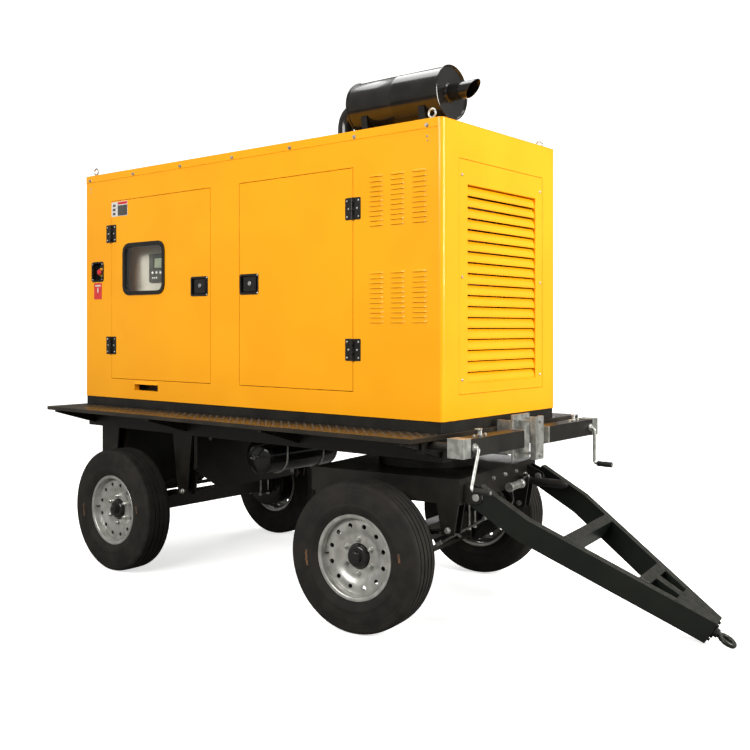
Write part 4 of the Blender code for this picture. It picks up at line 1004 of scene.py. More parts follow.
def buildSheetFasteners():
    work = bmesh.new()
    for side in sides.values():
        for x in roofBolts["x"]:
            addBolt(work, (housing["front"] + x, side * housing["roofHalf"], roofBolts["z"]), (0, side, 0),
                    roofBolts["flats"])
        for x in (-0.092, -2.977):
            addScrew(work, (housing["front"] + x, side * housing["face"], 2.516), (0, side, 0), 0.0060)
            addScrew(work, (housing["front"] + x + 0.002, side * housing["face"], 2.494), (0, side, 0),
                     0.0045)
    for y in (-0.400, 0.400):
        for z in (1.2850, 1.8120, 2.3360):
            addScrew(work, (housing["front"] - 0.001, y, z), (1, 0, 0), 0.0078)
            addScrew(work, (housing["rear"] + 0.001, y, z), (-1, 0, 0), 0.0078)
    makePiece("sheet_fasteners", work, "zinc", "chassis")
    work = bmesh.new()
    for side in sides.values():
        for x in (-0.086, -2.959):
            foot = Vector((housing["front"] + x, side * 0.543, housing["roof"]))
            addTurned(work, [(0, 0), (0, 0.0175), (0.003, 0.0180), (0.006, 0.0150), (0.009, 0.0075),
                             (0.012, 0.0065), (0.012, 0)], foot, up, 28)
            centre = foot + Vector((0, 0, 0.0320))
            circle = [centre + Vector((0.0215 * cos(a), 0, 0.0215 * sin(a)))
                      for a in (2 * pi * i / 40 for i in range(40))]
            addTube(work, circle, 0.0052, 12, closed=True)
    makePiece("lifting_eyes", work, "zinc", "chassis")


buildSheetFasteners()


def plate(name, finish, centre, size, body="chassis", side=-1, thick=0.0008, corner=0.004, base=0.0002):
    work = bmesh.new()
    addPrism(work, roundedOutline(centre, size, corner, 4), (base, base + thick), onSide(side))
    return makePiece(name, work, finish, body)


def buildPlates():  # blank plates where the real one has printed labels
    x0 = housing["front"]
    plate("stop_plate", "red_plastic", (x0 - 2.893, 1.8045), (0.090, 0.112))
    plate("stop_plate_bar", "labelWhite", (x0 - 2.893, 1.842), (0.060, 0.010), base=0.0011, corner=0.002,
          thick=0.0003)
    plate("stop_plate_arrow", "labelWhite", (x0 - 2.893, 1.812), (0.012, 0.034), base=0.0011, corner=0.002,
          thick=0.0003)
    plate("data_plate_back", "labelWhite", (x0 - 2.648, 2.353), (0.176, 0.098))
    plate("data_plate_field", "panelCharcoal", (x0 - 2.615, 2.342), (0.104, 0.070), base=0.0011,
          corner=0.002, thick=0.0003)
    plate("data_plate_strip", "red_plastic", (x0 - 2.615, 2.391), (0.104, 0.016), base=0.0011,
          corner=0.002, thick=0.0003)
    for i in range(3):
        plate(f"data_plate_mark_{i}", "panelCharcoal", (x0 - 2.706, 2.322 + 0.028 * i), (0.030, 0.016),
              base=0.0011, corner=0.002, thick=0.0003)


buildPlates()


def buildStopButton():
    low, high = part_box("estop_button")
    centre = Vector(((low.x + high.x) / 2, -housing["face"], (low.z + high.z) / 2))
    work = bmesh.new()
    addTurned(work, [(0, 0.0120), (0, 0.0300), (0.0012, 0.0300), (0.0012, 0.0120)],
              centre + Vector((0, 0.0300, 0)), (0, -1, 0), 40, ring=True)
    makePiece("stop_button_ring", work, "cautionYellow", "chassis")
    work = bmesh.new()
    for x in (-1, 1):
        for z in (-1, 1):
            addScrew(work, centre + Vector((x * 0.0530, -0.0040, z * 0.0530)), (0, -1, 0), 0.0045)
    makePiece("stop_button_screws", work, "zinc", "chassis")


buildStopButton()


def buildCableSlot():  # a pressed lip over the cable slot
    x0 = housing["front"]
    work = bmesh.new()
    count, put = 24, onSide(-1)
    for i in range(count + 1):
        s = 2 * i / count - 1
        swell = 0.010 * max(0.0, 1 - abs(s) ** 6) ** 0.5
        x = x0 - 2.3635 + s * 0.1225
        for z, out in ((1.200, 0.0002), (1.191, 0.0002 + swell * 0.7), (1.181, 0.0002 + swell)):
            work.verts.new(put(x, z, out))
    work.verts.ensure_lookup_table()
    for i in range(count):
        for k in range(2):
            a = i * 3 + k
            work.faces.new([work.verts[a], work.verts[a + 1], work.verts[a + 4], work.verts[a + 3]])
    makePiece("cable_slot_lip", work, "yellow_powder_coat", "chassis", sharp=60)


buildCableSlot()
print("housing detailed")

# muffler

muffler = {
    "axisZ": 2.885, "radius": 0.156, "front": -0.335, "rear": -1.0025,  # X from the housing's front
    "pipe": 0.048, "wall": 0.0035, "tip": -0.1965, "slant": 0.808,  # the tail pipe and its cut
    "bendOut": 0.130, "bendRadius": 0.110, "inlet": 0.050, "saddles": (-0.460, -0.880), "saddleFoot": 0.128,
}


def buildMuffler():
    z, radius, x0 = muffler["axisZ"], muffler["radius"], housing["front"]
    length = muffler["front"] - muffler["rear"]
    start = Vector((x0 + muffler["rear"], 0, z))
    seam, wide = radius, muffler["saddleFoot"]
    profile = [
        (0.016, 0), (0.016, 0.060), (0.0135, 0.120), (0.0115, 0.1450), (0.0060, 0.1480), (0.0010, 0.1500),
        (0.0, 0.1525), (0.0012, seam - 0.0006),
        (0.0055, seam), (0.0095, seam - 0.0006), (0.0110, seam - 0.0040), (0.0125, seam - 0.0060),
        (0.200, seam - 0.0055), (length / 2 - 0.004, seam - 0.0055),
        (length / 2, seam - 0.0045), (length / 2 + 0.004, seam - 0.0055), (length - 0.0125, seam - 0.0060),
        (length - 0.0110, seam - 0.0040),
        (length - 0.0095, seam - 0.0006), (length - 0.0055, seam), (length - 0.0012, seam - 0.0006),
        (length, 0.1525), (length - 0.0010, 0.1500),
        (length - 0.0060, 0.1480), (length - 0.0115, 0.1450), (length - 0.0135, 0.120),
        (length - 0.0125, 0.085), (length - 0.016, 0.060), (length - 0.016, 0),
    ]
    work = bmesh.new()
    addTurned(work, profile, start, (1, 0, 0), 96)
    loops, steps = [], 48  # the tail pipe, cut at a slant with its tip at the top
    for wall, depth in ((0, None), (0, "end"), (muffler["wall"], "end"), (muffler["wall"], None)):
        loop = []
        for i in range(steps):
            a = 2 * pi * i / steps
            r = muffler["pipe"] - wall
            y, dz = r * sin(a), r * cos(a)
            x = muffler["tip"] + dz * muffler["slant"] if depth else muffler["front"] - (0.020 if wall == 0
                else -0.03)
            loop.append(work.verts.new((x0 + x, y, z + dz)))
        loops.append(loop)
    for a, b in zip(loops, loops[1:]):
        for i in range(steps):
            work.faces.new([a[i], a[(i + 1) % steps], b[(i + 1) % steps], b[i]])
    work.faces.new(loops[0])
    work.faces.new(loops[-1])
    addTurned(work, [(0, 0.0480), (0.0, 0.0560), (0.004, 0.0530), (0.010, 0.0495), (0.010, 0.0480)],
              (x0 + muffler["front"] - 0.016, 0, z), (1, 0, 0), 48, ring=True)
    drop = muffler["rear"] - muffler["bendOut"]
    path = roundedPath([(x0 + muffler["rear"] + 0.02, 0, z), (x0 + drop, 0, z),
                        (x0 + drop, 0, housing["roof"] + 0.0005)], muffler["bendRadius"], 14)
    addTube(work, path, muffler["inlet"], 40)
    foot = (x0 + drop, 0, housing["roof"] + 0.0005)
    addTurned(work, [(0, 0), (0, 0.085), (0.0095, 0.085), (0.0115, 0.083), (0.0115, 0.058),
                     (0.024, 0.0545), (0.040, 0.0515), (0.040, 0)], foot, up, 48)
    for x in muffler["saddles"]:
        arc = []
        for i in range(17):
            a = radians(-58 + 116 * i / 16)
            arc.append((sin(a) * (radius + 0.0002), -cos(a) * (radius + 0.0002)))
        outlinePoints = [(y, z + dz) for y, dz in arc] + [(0.100, housing["roof"] + 0.006),
                (wide, housing["roof"] + 0.006), (wide, housing["roof"] + 0.0005),
                                                           (-wide, housing["roof"] + 0.0005),
                                                           (-wide, housing["roof"] + 0.006),
                                                           (-0.100, housing["roof"] + 0.006)]
        addPrism(work, outlinePoints, (x0 + x - 0.022, x0 + x + 0.022), lambda y, h, x_: (x_, y, h))
    makePiece("muffler_canister", work, "gloss_black", "chassis", sharp=34, stands=["muffler"])
    work = bmesh.new()
    for x in muffler["saddles"]:
        for y in (-0.116, 0.116):
            addBolt(work, (x0 + x, y, housing["roof"] + 0.006), up, 0.014)
    for i in range(4):
        a = pi / 4 + i * pi / 2
        addBolt(work, (x0 + drop + 0.071 * cos(a), 0.071 * sin(a), housing["roof"] + 0.0120), up, 0.013)
    makePiece("muffler_bolts", work, "zinc", "chassis")


buildMuffler()

# air tank under the frame

airTank = {"x": -1.500, "z": 0.764, "low": -0.420, "high": 0.250, "radius": 0.110}


def buildAirTank():
    x, z, radius = housing["front"] + airTank["x"], airTank["z"], airTank["radius"]
    length = airTank["high"] - airTank["low"]
    dome = [(0, 0), (0.0010, 0.020), (0.0045, 0.048), (0.0110, 0.074), (0.0210, 0.095), (0.0320, 0.106),
            (0.0430, 0.1088), (0.0440, radius), (0.0560, radius), (0.0565, 0.1085)]
    profile = dome + [(length - d, r) for d, r in reversed(dome)]
    work = bmesh.new()
    addTurned(work, profile, (x, airTank["low"], z), (0, 1, 0), 72)
    makePiece("air_tank_shell", work, "gloss_black", "chassis", sharp=36, stands=["air_tank"])
    work = bmesh.new()
    for y in (-0.250, 0.080):
        circle = [(x + 0.1115 * cos(a), y,
                   z + 0.1115 * sin(a)) for a in (radians(200 + 140 * i / 24) for i in range(25))]
        ends = [(x - 0.113, y, z + 0.100)] + circle + [(x + 0.113, y, z + 0.100)]
        addTube(work, ends, 0.006)
    addRod(work, (x, airTank["low"] + 0.004, z), (x, airTank["low"] - 0.018, z), 0.014, 6)
    addRod(work, (x, airTank["low"] - 0.018, z), (x, airTank["low"] - 0.034, z), 0.009, 16)
    addRod(work, (x, -0.100, z - 0.108), (x, -0.100, z - 0.128), 0.010, 6)
    makePiece("air_tank_fittings", work, "zinc", "chassis")
    work = bmesh.new()
    addTube(work,
            smoothPath([(x, airTank["low"] - 0.030, z), (x + 0.010, -0.470, z + 0.030),
                        (x + 0.080, -0.440, z + 0.085), (x + 0.220, -0.400, 0.862),
                              (x + 0.420, -0.395, 0.866)]), 0.0055)
    makePiece("air_tank_pipe", work, "black_rubber", "chassis")


buildAirTank()
print("muffler and air tank built")

# deck chequers

chequers = {"pitch": 0.0300, "length": 0.0225, "width": 0.0062, "height": 0.0014}


# raised lozenges, each set square to its neighbours, on the walkways beside the housing
def buildChequers():
    low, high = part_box("deck_plate")
    half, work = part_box("skid_base")[1].y + 0.004, bmesh.new()
    pitch, z = chequers["pitch"], high.z
    length, width = chequers["length"] / 2, chequers["width"] / 2
    shape = [(-1, 0), (-0.55, 0.8), (0, 1), (0.55, 0.8), (1, 0), (0.55, -0.8), (0, -1), (-0.55, -0.8)]
    columns, rows = int((high.x - low.x - 0.02) / pitch), int((high.y - half - 0.012) / pitch)
    for side in sides.values():
        for i in range(columns):
            for j in range(rows):
                x, y = low.x + 0.022 + i * pitch, side * (half + 0.018 + j * pitch)
                turn = pi / 4 if (i + j) % 2 else -pi / 4
                c, s = cos(turn), sin(turn)
                points = []
                for scale, lift in ((1.0, -0.0002), (0.62, chequers["height"])):
                    for a, b in shape:
                        a, b = a * length * scale, b * width * scale
                        points.append((x + a * c - b * s, y + a * s + b * c, z + lift))
                faces = [(k, (k + 1) % 8, 8 + (k + 1) % 8,
                          8 + k) for k in range(8)] + [tuple(range(8, 16)), tuple(range(7, -1, -1))]
                addFaces(work, points, faces)
    makePiece("deck_chequers", work, "deck_chequer_plate", "chassis", sharp=60)


buildChequers()

# jacks

jackSizes = {"lean": {"right": radians(20), "left": 0.0}, "half": 0.045, "pivotY": 0.655, "outerY": 0.700,
             "crankY": 0.610, "arm": 0.205, "grip": 0.110}


def buildJack(sideName):
    side, body = sides[sideName], "jack_" + sideName
    pivot = Vector(joints["jack_swing_" + sideName]["pos_m"])
    x, z, half = pivot.x, pivot.z, jackSizes["half"]

    def across(a, b):
        return sorted((side * a, side * b))

    work = bmesh.new()  # plated head: a cap and collar round the tube's outer end
    outer = half + 0.0022
    addBlock(work, (x - outer, x + outer), across(0.7002, 0.7035), (z - outer, z + outer))
    addBlock(work, (x + half + 0.0001, x + outer), across(0.640, 0.7002), (z - outer, z + outer))
    for edge in (-1, 1):
        addBlock(work, (x - half, x + outer), across(0.628, 0.7002),
                 sorted((z + edge * (half + 0.0001), z + edge * outer)))
    makePiece(f"jack_head_{sideName}", work, "zinc", body, bevel=0.0008)
    work = bmesh.new()  # pull pin on top, crank boss in front, pivot collar
    y = side * 0.490
    addTurned(work, [(0, 0), (0, 0.016), (0.004, 0.017), (0.008, 0.012), (0.026, 0.011), (0.028, 0.014),
                     (0.034, 0.014), (0.036, 0.012), (0.036, 0)], (x, y, z + half), up, 24)
    circle = [(x + 0.014 * cos(a), y + side * 0.018 + 0.017 * sin(a),
               z + half + 0.034) for a in (2 * pi * i / 28 for i in range(28))]
    addTube(work, circle, 0.0028, 10, closed=True)
    for shift in (-0.050, 0.050):
        addBolt(work, (x, y + shift, z + half), up, 0.013)
    addTurned(work, [(0, 0), (0, 0.022), (0.006, 0.022), (0.010, 0.018), (0.016, 0.017), (0.016, 0)],
              (x + half, side * jackSizes["crankY"], z), (1, 0, 0), 28)
    makePiece(f"jack_fittings_{sideName}", work, "zinc", body)
    crankBody, spin = "jack_handle_" + sideName, Vector(joints["jack_wind_" + sideName]["pos_m"])
    lean, front = jackSizes["lean"][sideName], x + half + 0.028
    tip = Vector((front, spin.y, z)) + jackSizes["arm"] * Vector((0, side * sin(lean), -cos(lean)))
    work = bmesh.new()
    path = roundedPath([(x + half + 0.001, spin.y, z), (front, spin.y, z), tuple(tip),
                        (front + jackSizes["grip"], tip.y, tip.z)], 0.020, 8)
    addTube(work, path, 0.0088, 20)
    makePiece(f"jack_crank_rod_{sideName}", work, "zinc", crankBody, stands=["jack_crank_" + sideName])
    work = bmesh.new()
    addTurned(work, [(0, 0.0095), (0, 0.0150), (0.003, 0.0160), (0.030, 0.0145), (0.050, 0.0160),
                     (0.072, 0.0150), (0.084, 0.0160), (0.088, 0.0130), (0.089, 0)],
              (front + 0.021, tip.y, tip.z), (1, 0, 0), 32)
    makePiece(f"jack_crank_grip_{sideName}", work, "black_rubber", crankBody)


for sideName in sides:
    buildJack(sideName)


def buildJackBracket():
    low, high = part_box("jack_bracket")
    work = bmesh.new()
    for y in (-0.066, 0.066):
        for z in (0.876, 1.064):
            addBolt(work, (low.x + 0.1017, y, z), (1, 0, 0), 0.016)
    for z in (0.880, 1.060):
        addBolt(work, (high.x, 0.0, z), (1, 0, 0), 0.019)
    makePiece("jack_bracket_bolts", work, "zinc", "chassis")
    work = bmesh.new()
    addBlock(work, (low.x + 0.0897, low.x + 0.1017), (-0.088, 0.088), (low.z, high.z))
    addBlock(work, (high.x - 0.006, high.x), (-0.042, 0.042), (low.z + 0.006, high.z - 0.006))
    for edge in (-1, 1):
        addBlock(work, (high.x - 0.034, high.x - 0.0055), sorted((edge * 0.036, edge * 0.042)),
                 (low.z + 0.006, high.z - 0.006))
        addBlock(work, (low.x, low.x + 0.0900), sorted((edge * 0.070, edge * 0.082)),
                 (low.z + 0.030, high.z - 0.030))
    for z in (low.z + 0.030, high.z - 0.040):
        addBlock(work, (low.x + 0.1015, high.x - 0.005), (-0.020, 0.020), (z, z + 0.010))
    makePiece("jack_bracket_plates", work, "zinc", "chassis", bevel=0.001, stands=["jack_bracket"])


buildJackBracket()
print("jacks built")

# drawbar and tow eye


def addWeld(work, start, end, radius=0.0045):  # a rippled bead along a joint
    start, end = Vector(start), Vector(end)
    length = (end - start).length
    count = max(2, int(length / 0.006))
    profile = [(0, 0)]
    for i in range(count):
        along = length * (i + 0.5) / count
        profile.append((along, radius * (1.0 if i % 2 else 0.82)))
    addTurned(work, profile + [(length, 0)], start, end - start, 10)


drawbar = {  # in its own plane, forward from the hinge
    "half": 0.060, "spread": 0.445, "bend": 0.280, "nose": 1.230, "noseHalf": 0.060, "arm": 0.055,
    "rungs": ((0.445, 0.500), (0.828, 0.884)), "eye": 1.3045, "eyeRadius": 0.037, "eyeSection": 0.0130,
}


def buildDrawbarDetail():
    half, top = drawbar["half"], drawbar["half"]
    taper = (drawbar["spread"] - drawbar["noseHalf"]) / (drawbar["nose"] - drawbar["bend"])

    def inner(u):
        return drawbar["spread"] - max(0, u - drawbar["bend"]) * taper - drawbar["arm"]

    work = bmesh.new()
    for side in sides.values():
        for u0, u1 in drawbar["rungs"]:
            for u in (u0, u1):
                addWeld(work, (u, side * inner(u), -half + 0.012), (u, side * inner(u), top - 0.001))
            addWeld(work, (u0, side * (inner(u0) + 0.001), top), (u1, side * (inner(u1) + 0.001), top))
        addWeld(work, (0.884, side * 0.033, -half + 0.012), (0.884, side * 0.033, top - 0.001))
        for level in (-half, top):
            addWeld(work, (drawbar["bend"], side * 0.444, level), (drawbar["bend"], side * 0.391, level),
                    0.003)
        addWeld(work, (1.022, side * 0.034, top), (1.022, side * 0.132, top), 0.0035)
    makePiece("drawbar_welds", work, "drawbar_green_black", "drawbar", drawbarSpace)
    work = bmesh.new()
    for side in sides.values():
        for face in (-1, 1):
            addTurned(work, [(0, 0.0160), (0, 0.0300), (0.0012, 0.0310), (0.0016, 0.0300),
                             (0.0016, 0.0160)],
                      (0, side * 0.4175 + face * 0.0275, 0), (0, face, 0), 28, ring=True)
    makePiece("drawbar_hinge_washers", work, "zinc", "drawbar", drawbarSpace)
    work = bmesh.new()
    middle, radius = drawbar["eye"], drawbar["eyeRadius"]
    ring = [(middle + radius * cos(a), radius * sin(a), 0) for a in (2 * pi * i / 48 for i in range(48))]
    addTube(work, ring, drawbar["eyeSection"], 20, closed=True)
    addTurned(work, [(0, 0), (0, 0.0130), (0.070, 0.0135), (0.0710, 0.0235), (0.0740, 0.0240),
                     (0.0830, 0.0240), (0.0860, 0.0220), (0.0880, 0.0170),
                     (0.1000, 0.0150), (0.1060, 0.0150), (0.1060, 0)], (1.1715, 0, 0), (1, 0, 0), 32)
    makePiece("tow_ring_forging", work, "drawbar_green_black", "tow_ring", drawbarSpace, stands=["tow_eye"])
    work = bmesh.new()
    addTurned(work, [(0, 0.0175), (0, 0.0365), (0.0100, 0.0380), (0.0125, 0.0365), (0.0125, 0.0175)],
              (1.2298, 0, 0), (1, 0, 0), 36, ring=True)
    for y in (-0.030, 0.030):
        for z in (-0.040, 0.040):
            addBolt(work, (1.2300, y, z), (1, 0, 0), 0.014)
    makePiece("drawbar_nose_socket", work, "drawbar_green_black", "drawbar", drawbarSpace)


buildDrawbarDetail()
print("drawbar built")

# inside the housing

def buildDoorLinings():  # foam pads on the doors' inner faces, held by a grid of pins
    for place in ("front", "rear"):
        for sideName, side in sides.items():
            name = f"{place}_{sideName}"
            low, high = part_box("door_" + name)
            inner = min(abs(low.y), abs(high.y))
            edge = 0.034
            spans = [(low.z + edge, high.z - edge)]
            xs = (low.x + edge, high.x - edge)
            if name == "rear_right":  # round the window
                spans = [(low.z + edge, 1.735), (2.150, high.z - edge)]
            work, pins = bmesh.new(), bmesh.new()
            for span in spans:
                centre = ((xs[0] + xs[1]) / 2, (span[0] + span[1]) / 2)
                outline = roundedOutline(centre, (xs[1] - xs[0], span[1] - span[0]), 0.020, 4)
                put = lambda x, z, inward: (x, side * (inner - inward), z)
                addPrism(work, outline, (0.0005, 0.0220), put)
                rows = max(1, round((span[1] - span[0]) / 0.30))
                for i in range(3):
                    for j in range(rows):
                        x = xs[0] + (i + 0.5) / 3 * (xs[1] - xs[0])
                        z = span[0] + (j + 0.5) / rows * (span[1] - span[0])
                        addTurned(pins, [(0, 0.016), (0.0015, 0.0155), (0.0022, 0.012), (0.0022, 0)],
                                  put(x, z, 0.0220), (0, -side, 0), 16)
            makePiece("door_foam_" + name, work, "foamGrey", "door_leaf_" + name, bevel=0.004)
            makePiece("door_foam_pins_" + name, pins, "zinc", "door_leaf_" + name)


buildDoorLinings()


cylinderRow = {"first": -1.235, "pitch": 0.102, "count": 6}


def buildEngineDetail():
    x0 = housing["front"]
    ribs, bright, rusty, rubber = (bmesh.new() for _ in range(4))
    cylinders = [x0 + cylinderRow["first"] + cylinderRow["pitch"] * i for i in range(cylinderRow["count"])]
    for x in cylinders:
        addBlock(ribs, (x - 0.040, x + 0.040), (-0.085, 0.085), (1.9302, 1.972))  # rocker covers
        for y in (-0.055, 0.055):
            addBolt(bright, (x, y, 1.972), up, 0.013)
        for side in sides.values():
            addBlock(ribs, (x - 0.007, x + 0.007), sorted((side * 0.2302, side * 0.2380)), (1.300, 1.740))
            addTurned(ribs, [(0, 0.030), (0.004, 0.029), (0.007, 0.024), (0.007, 0)],
                      (x, side * 0.2302, 1.520), (0, side, 0), 20)
        # exhaust ports
        addTube(rusty, smoothPath([(x, -0.1605, 1.860), (x, -0.200, 1.870), (x - 0.01, -0.235, 1.905)]),
                0.022)
        addTube(bright,
                smoothPath([(x + 0.030, 0.1605, 1.900), (x + 0.030, 0.205, 1.905),
                            (x + 0.02, 0.232, 1.845), (x + 0.015, 0.240, 1.792)]), 0.0035, 8)
    addRod(rusty, (cylinders[0] - 0.045, -0.245, 1.915), (cylinders[-1] + 0.045, -0.245, 1.915), 0.036, 24)
    addTube(rusty,
            smoothPath([(x0 - 1.1325, -0.245, 1.940), (x0 - 1.1325, -0.240, 2.010),
                        (x0 - 1.1325, -0.120, 2.060), (x0 - 1.1325, -0.030, 2.070)]), 0.040, 20)
    addTurned(ribs, [(0, 0), (0, 0.055), (0.030, 0.078), (0.070, 0.078), (0.095, 0.045), (0.120, 0.045),
                     (0.120, 0)], (x0 - 0.985, -0.300, 2.000), (1, 0, 0), 32)
    addTube(rubber,
            smoothPath([(x0 - 0.865, -0.300, 2.000), (x0 - 0.76, -0.300, 2.005), (x0 - 0.70, -0.24, 2.09),
                        (x0 - 0.70, -0.10, 2.13)]), 0.042, 20)
    addRod(rubber, (x0 - 1.020, 0.020, 2.130), (x0 - 0.660, 0.020, 2.130), 0.118, 36, 0.012)  # air filter
    addRod(rubber, (x0 - 0.662, 0.020, 2.130), (x0 - 0.640, 0.020, 2.130), 0.102, 36, 0.008)
    for x in (-0.940, -0.760):
        addTurned(bright, [(-0.009, 0.1180), (-0.009, 0.1198), (0.009, 0.1198), (0.009, 0.1180)],
                  (x0 + x, 0.020, 2.130), (1, 0, 0), 48, ring=True)
        addBlock(ribs, (x0 + x - 0.012, x0 + x + 0.012), (-0.060, 0.100), (1.9722, 2.020))
    for i in range(3):  # spin-on filters under the injector rail
        x = x0 - 1.150 + 0.150 * i
        addTurned(rubber if i else bright, [(0, 0), (0, 0.028), (0.010, 0.046), (0.150, 0.048),
                                            (0.158, 0.044), (0.160, 0)], (x, 0.285, 1.360), up, 28)
        addBlock(ribs, (x - 0.040, x + 0.040), (0.2302, 0.320), (1.520, 1.560))
    # charging alternator
    addRod(ribs, (x0 - 0.720, 0.300, 1.700), (x0 - 0.880, 0.300, 1.700), 0.062, 28, 0.010)
    addBlock(ribs, (x0 - 0.860, x0 - 0.740), (0.2302, 0.262), (1.660, 1.700))
    addRod(ribs, (x0 - 1.080, -0.300, 1.390), (x0 - 0.820, -0.300, 1.390), 0.052, 28, 0.010)  # starter
    addRod(bright, (x0 - 1.020, -0.300, 1.462), (x0 - 0.900, -0.300, 1.462), 0.022, 20)
    for y, r in ((0.0, 0.095), (0.300, 0.040)):
        for x in (-0.594, -0.606):
            addTurned(bright, [(-0.008, 0), (-0.008, r), (0, r - 0.008), (0.008, r), (0.008, 0)],
                      (x0 + x, y, 1.620 if not y else 1.700), (1, 0, 0), 32)
    belt = [(x0 - 0.600, y, z) for y, z in ((0.0, 1.715), (0.290, 1.740), (0.330, 1.722), (0.338, 1.695),
            (0.300, 1.662), (0.040, 1.532), (-0.055, 1.545), (-0.095, 1.620), (-0.060, 1.690))]
    addTube(rubber, belt, 0.0065, 8, closed=True)
    for y, z, top in ((0.200, 1.950, 2.300), (-0.180, 1.330, 1.230)):  # coolant hoses
        path = [(x0 - 0.660 if y > 0 else x0 - 0.620, y * 0.4, z),
                (x0 - 0.560, y * 0.5, z + 0.04 if y > 0 else z), (x0 - 0.440, y, (z + top) / 2 + 0.05),
                (x0 - 0.341, y, top)]
        addTube(rubber, smoothPath(path), 0.026, 16)
    addRod(rubber, (x0 - 1.180, -0.2305, 1.640), (x0 - 1.180, -0.262, 1.640), 0.020, 16)
    addTube(bright,
            smoothPath([(x0 - 1.200, -0.235, 1.360), (x0 - 1.220, -0.262, 1.500),
                        (x0 - 1.215, -0.262, 1.700)]), 0.006, 10)
    makePiece("engine_castings", ribs, "engine_green", "chassis", bevel=0.0015)
    makePiece("engine_bright_parts", bright, "zinc", "chassis")
    makePiece("engine_exhaust_manifold", rusty, "manifoldRust", "chassis")
    makePiece("engine_rubber_parts", rubber, "black_rubber", "chassis")


def buildRadiatorDetail():
    low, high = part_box("radiator")
    tanks, fins, shroud = bmesh.new(), bmesh.new(), bmesh.new()
    for a, b in ((low.z, low.z + 0.110), (high.z - 0.110, high.z)):
        addBlock(tanks, (high.x, high.x + 0.012), (low.y + 0.004, high.y - 0.004), (a + 0.002, b - 0.002))
    for y in (low.y + 0.020, high.y - 0.020):
        addBlock(tanks, (high.x, high.x + 0.016), (y - 0.018, y + 0.018), (low.z + 0.002, high.z - 0.002))
    for i in range(46):
        z = low.z + 0.125 + i * (high.z - low.z - 0.250) / 45
        addBlock(fins, (high.x + 0.0002, high.x + 0.006), (low.y + 0.040, high.y - 0.040),
                 (z - 0.0035, z + 0.0035))
    for i in range(12):
        y = low.y + 0.070 + i * (high.y - low.y - 0.140) / 11
        addBlock(fins, (high.x + 0.0065, high.x + 0.009), (y - 0.004, y + 0.004),
                 (low.z + 0.112, high.z - 0.112))
    addTurned(tanks, [(0, 0), (0, 0.034), (0.018, 0.034), (0.022, 0.030), (0.022, 0)],
              ((low.x + high.x) / 2, 0.250, high.z), up, 24)
    centre = Vector((low.x, 0, 1.620))
    addTurned(shroud, [(0.0005, 0.390), (-0.040, 0.372), (-0.125, 0.360), (-0.125, 0.366), (-0.040, 0.378),
                       (0.0, 0.396)], centre, (1, 0, 0), 64, ring=True)
    makePiece("radiator_tanks", tanks, "radiator_black", "chassis", bevel=0.002)
    makePiece("radiator_fins", fins, "zinc", "chassis")
    makePiece("radiator_fan_shroud", shroud, "black_rubber", "chassis")


def buildAlternatorDetail():
    x0 = housing["front"]
    work, bright, dark = bmesh.new(), bmesh.new(), bmesh.new()
    for x, r in ((-1.360, 0.2585), (-1.600, 0.2555), (-1.985, 0.2575)):
        addTurned(work, [(-0.012, 0.249), (-0.012, r), (0.012, r), (0.012, 0.249)], (x0 + x, 0, 1.520),
                  (1, 0, 0), 56, ring=True)
    for i in range(28):
        a = 2 * pi * i / 28
        if abs(sin(a) - 1) < 0.35:
            continue
        y, z = 0.2510 * cos(a), 1.520 + 0.2510 * sin(a)
        addRod(work, (x0 - 1.970, y, z), (x0 - 1.615, y, z), 0.0045, 6)
    for i in range(12):
        a = 2 * pi * i / 12
        addBolt(bright, (x0 - 1.3475, 0.2200 * cos(a), 1.520 + 0.2200 * sin(a)), (1, 0, 0), 0.013)
    addBlock(work, (x0 - 1.968, x0 - 1.552), (-0.208, 0.208), (1.9602, 1.972))
    for x in (-1.950, -1.570):
        for y in (-0.190, 0.190):
            addScrew(bright, (x0 + x, y, 1.972), up, 0.008)
    for i in range(9):  # cooling slots in the end bell, drawn as thin black plates: painted shade where the openings are
        z = 1.400 + 0.030 * i
        addBlock(dark, (x0 - 2.0412, x0 - 2.0402), (-0.130, 0.130), (z, z + 0.012))
    for y in (-0.060, 0.0, 0.060):
        path = [(x0 - 1.9605, y, 1.800), (x0 - 2.080, y, 1.790), (x0 - 2.180, y * 1.2, 1.650),
                (x0 - 2.240, -0.200 + y, 1.500)]
        addTube(dark, smoothPath(path), 0.013, 12)
    makePiece("alternator_shell_ribs", work, "alternator_grey", "chassis")
    makePiece("alternator_bolts", bright, "zinc", "chassis")
    # the black plates on the end bell are painted shade standing in for slot openings; the tubes are real
    # cables
    makePiece("alternator_cables_and_painted_slot_shade", dark, "black_rubber", "chassis")


